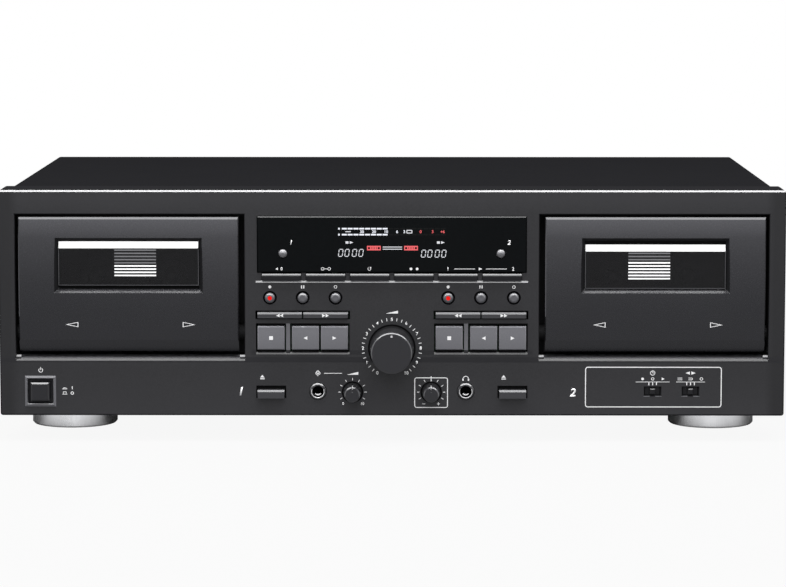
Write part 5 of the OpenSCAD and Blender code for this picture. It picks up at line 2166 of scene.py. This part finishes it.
@dataclass
class ControlRow:
    """Knobs with their dials, sockets, switches and the power button."""

    dial: Point = (0.0, 52.4)
    dial_radius: float = 16.0
    dial_step: float = 30.0
    dial_start: float = -150.0
    dial_figures: int = 11
    dial_figure: float = 1.75
    dial_shadow: Point = (12.8, 0.9)
    level_tick: Triple = (0.36, 0.06, 1.65)
    level_starts: Point = (-140.0, -130.0)
    level_count: int = 10
    small_x: float = 21.8
    small_z: float = 27.8
    small_radius: float = 7.2
    small_tick: Triple = (0.32, 0.06, 1.35)
    small_start: float = -120.0
    small_count: int = 9
    small_figure: float = 1.5
    small_figure_z: float = 21.3
    small_shadow: Point = (5.6, 0.8)
    pointer_dot: Point = (0.0, 61.7)
    pointer_radius: float = 0.66
    pointer_span: Point = (1.6, 3.9)
    pointer_line: float = 0.55
    deck_figures: tuple[tuple[str, Point], ...] = (("1", (-84.0, 28.3)), ("2", (100.2, 27.7)))
    deck_figure: float = 4.4
    pitch_low: Point = (12.7, 19.2)
    pitch_high: Point = (30.9, 35.8)
    pitch_sign: float = 0.36
    switch_low: Point = (107.4, 19.6)
    switch_high: Point = (182.6, 41.8)
    switch_x: Point = (144.6, 165.6)
    switch_out: Point = (9.4, 8.0)
    switch_scale: float = 33.6
    switch_step: float = 2.1
    switch_sign: float = 35.3
    switch_head: float = 38.6
    mic_sign: Point = (-41.0, 38.3)
    phones_sign: Point = (41.0, 35.6)
    phones_half: float = 1.5
    power_sign: Point = (-194.8, 40.0)
    power_line: float = 0.34
    state_base: Point = (-183.0, -180.2)
    state_cap: Point = (-182.4, -180.8)
    state_rows: tuple[Point, ...] = ((29.9, 0.1), (27.0, 0.8))
    state_x: float = -177.4
    jack_x: float = 41.0
    jack_z: float = 28.2
    jack_front: float = -124.3
    lip_radius: float = 3.5
    lip_thick: float = 0.27
    lip_arc: Point = (68.0, 292.0)
    groove_out: float = 0.42
    groove_line: float = 0.4
    spring_radius: float = 2.05
    spring_thick: float = 0.4
    spring_depth: float = 1.6
    spring_arc: Point = (130.0, 230.0)
    sill_z: float = 25.55
    sill_span: Point = (1.6, 5.0)
    sill_line: float = 0.42

    def dress(self) -> None:
        """Give the controls their finishes."""
        PAINTS.dress(Coat.KNOB, ["record_level_knob", "mic_level_knob", "pitch_knob"])
        PAINTS.dress(Coat.SOCKET, ["jack_sockets"])
        PAINTS.dress(Coat.SWITCH, ["timer_switch", "direction_switch"])
        PAINTS.dress(Coat.POWER_KEY, ["power_button"])

    def build(self) -> None:
        """Print the dials and marks and add pointers and socket rings, painted highlights under the switch
        slots and painted shadows round the knobs.
        """
        self._dial_ticks()
        ink = Print(Skin(["front_panel"]))
        self._dial_figures(ink)
        self._pitch_marks(ink)
        self._switch_marks(ink)
        self._socket_marks(ink)
        self._power_marks(ink)
        for words, centre in self.deck_figures:
            ink.text(words, centre, self.deck_figure, ITALIC)
        ink.finish("panel_marks", "case", Coat.INK)
        self._pointers()
        self._jack_rings()
        self._switch_sill_highlights()
        self._knob_shadows()

    def _dial_ticks(self) -> None:
        """Put the ticks round the three knobs."""
        tree = TickRing()
        large = (self.dial_radius, self.level_count, self.level_tick)
        small = (self.small_radius, self.small_count, self.small_tick)
        rings = (
            ("level_ticks_a", self.dial, self.level_starts[0], large),
            ("level_ticks_b", self.dial, self.level_starts[1], large),
            ("mic_ticks", (-self.small_x, self.small_z), self.small_start, small),
            ("pitch_ticks", (self.small_x, self.small_z), self.small_start, small),
        )
        for name, centre, start, (radius, count, size) in rings:
            mesh = tree.grow(
                empty_mesh(),
                {
                    "Count": count,
                    "Radius": radius * MM,
                    "Start": math.radians(start),
                    "Step": math.radians(self.dial_step),
                    "Size": Vector(size) * MM,
                    "Centre": Vector((centre[0], FACE_Y, centre[1])) * MM,
                    "Finish": PAINTS.get(Coat.INK),
                },
            )
            settle(mesh, name, "case")

    def _dial_figures(self, ink: Print) -> None:
        """Set the level dial's numbers and the small dial's ends.

        Args:
            ink: The sheet.
        """
        for n in range(self.dial_figures):
            angle = math.radians(self.dial_start + self.dial_step * n)
            ink.text(str(n), on_circle(self.dial, self.dial_radius, angle), self.dial_figure)
        for words, shift in (("0", -5.2), ("10", 5.4)):
            ink.text(words, (-self.small_x + shift, self.small_figure_z), self.small_figure)
        ink.area([(-3.4, 71.7), (3.4, 71.7), (3.4, 73.3)])

    def _pitch_marks(self, ink: Print) -> None:
        """Draw the frame round the pitch knob and its signs.

        Args:
            ink: The sheet.
        """
        ink.frame(self.pitch_low, self.pitch_high, 0.45, 1.1)
        ink.bar((16.9, 21.2), (18.5, 21.2), self.pitch_sign)
        ink.bar((25.1, 21.2), (26.7, 21.2), self.pitch_sign)
        ink.bar((25.9, 20.4), (25.9, 22.0), self.pitch_sign)
        ink.bar((self.small_x, 33.9), (self.small_x, 36.6), 0.6)

    def _switch_marks(self, ink: Print) -> None:
        """Draw the frame round the slide switches and their scales.

        Args:
            ink: The sheet.
        """
        ink.frame(self.switch_low, self.switch_high, 0.5, 1.3)
        z = self.switch_scale
        for x, out in zip(self.switch_x, self.switch_out):
            ink.bar((x - out, z), (x + out, z), 0.26)
            for shift in (-self.switch_step, 0.0, self.switch_step):
                ink.bar((x + shift, z - 1.8), (x + shift, z - 0.2), 0.5)
        left, right = self.switch_x
        z = self.switch_head
        ink.ring((left, z), 1.2, 0.34)
        ink.bar((left, z - 0.1), (left, z + 0.9), 0.28)
        ink.bar((left - 0.1, z), (left + 0.8, z), 0.28)
        for way in (-1, 1):
            ink.arrow((right + way * 1.6, z), 2.4, 1.8, way > 0)
        z, line = self.switch_sign, 0.32
        ink.dot((left - 5.6, z), 0.75)
        ink.ring((left, z), 0.7, line)
        ink.arrow((left + 5.8, z), 1.6, 1.6, True)
        for up in (-0.5, 0.5):
            ink.bar((right - 7.2, z + up), (right - 4.6, z + up), line)
            ink.bar((right - 1.2, z + up), (right + 0.6, z + up), line)
        ink.ring((right + 0.6, z), 0.5, line, (0.0, 180.0))
        ink.ring((right + 6.0, z), 0.75, line)

    def _socket_marks(self, ink: Print) -> None:
        """Draw the signs over the two front sockets.

        Args:
            ink: The sheet.
        """
        x, z = self.mic_sign
        ink.ring((x, z + 0.6), 0.7, 0.5)
        ink.ring((x, z + 0.4), 1.3, 0.3, (90.0, 270.0))
        ink.bar((x, z - 1.6), (x, z - 0.9), 0.3)
        ink.bar((-37.6, z), (-27.6, z), 0.3)
        ink.area([(-25.0, z - 0.8), (-18.6, z - 0.8), (-18.6, z + 0.8)])
        x, z = self.phones_sign
        ink.ring((x, z - 0.4), self.phones_half, 0.34, (-90.0, 90.0))
        for side in (-self.phones_half, self.phones_half):
            ink.bar((x + side, z - 1.4), (x + side, z - 0.2), 0.8)

    def _power_marks(self, ink: Print) -> None:
        """Draw the signs over and beside the power button.

        Args:
            ink: The sheet.
        """
        x, z = self.power_sign
        ink.ring((x, z - 0.1), 1.1, self.power_line, (35.0, 325.0))
        ink.bar((x, z), (x, z + 1.6), self.power_line)
        start, end = self.state_base
        left, right = self.state_cap
        for up, rise in self.state_rows:
            ink.bar((start, up - 0.5), (end, up - 0.5), 0.3)
            for side in (left, right):
                ink.bar((side, up - 0.5), (side, up + rise), 0.3)
            ink.bar((left, up + rise), (right, up + rise), 0.3)
        ink.bar((self.state_x, 29.2), (self.state_x, 30.9), 0.42)
        ink.ring((self.state_x, 27.1), 0.72, 0.36)

    def _pointers(self) -> None:
        """Set a white pointer on each knob."""
        dot = Print(Skin(["record_level_knob"]))
        dot.dot(self.pointer_dot, self.pointer_radius)
        dot.finish("record_level_pointer", "record_level_knob", Coat.INK)
        for name, x in (("mic_level_knob", -self.small_x), ("pitch_knob", self.small_x)):
            line = Print(Skin([name]))
            low, high = (self.small_z + out for out in self.pointer_span)
            line.bar((x, low), (x, high), self.pointer_line)
            line.finish(f"{name}_pointer", name, Coat.INK)

    def _jack_rings(self) -> None:
        """Give each front socket its bright lip, its dark groove and the contact spring inside."""
        groove = Print(Skin(["jack_sockets"]))
        lips = bmesh.new()
        springs = bmesh.new()
        for sign in SIDES.values():
            x = sign * self.jack_x
            groove.ring((x, self.jack_z), self.lip_radius + self.groove_out, self.groove_line)
            rolled(lips, (x, self.jack_front, self.jack_z), self.lip_radius, self.lip_thick, self.lip_arc)
            middle = (x, self.jack_front + self.spring_depth, self.jack_z)
            rolled(springs, middle, self.spring_radius, self.spring_thick, self.spring_arc)
        groove.finish("jack_grooves", "case", Coat.GASKET)
        wires = ((lips, "jack_lips", Coat.SOCKET_LIP), (springs, "jack_springs", Coat.SPRING))
        for shape, name, coat in wires:
            bmesh.ops.recalc_face_normals(shape, faces=shape.faces[:])
            settle(smoothed(shape, name, coat), name, "case")

    def _switch_sill_highlights(self) -> None:
        """Draw painted highlights at the corners under the slots of the slide switches."""
        highlights = Print(Skin(["front_panel"]))
        near, far = self.sill_span
        for x in self.switch_x:
            for way in (-1, 1):
                # painted highlight: short pale bars either side of each slot
                highlights.bar((x + way * near, self.sill_z), (x + way * far, self.sill_z), self.sill_line)
        highlights.finish("switch_sills", "case", Coat.LENS_EDGE)

    def _knob_shadows(self) -> None:
        """Draw a painted shadow round each knob where it meets the panel."""
        shadows = Print(Skin(["front_panel"]))
        # painted shadow: a black ring round each knob's base
        shadows.ring(self.dial, *self.dial_shadow)
        for x in (-self.small_x, self.small_x):
            shadows.ring((x, self.small_z), *self.small_shadow)
        shadows.finish("knob_gaps", "case", Coat.GASKET)


def main() -> None:
    """Build and dress the sub-assemblies in order."""
    logging.basicConfig(level=logging.INFO, format="%(name)s: %(message)s")
    StudioSet().build()
    for part in (CaseShell(), CassetteBays(), DisplayBlock(), TransportKeys(), ControlRow()):
        part.dress()
        part.build()
        LOG.info("%s done", type(part).__name__)


if __name__ == "__main__":
    main()
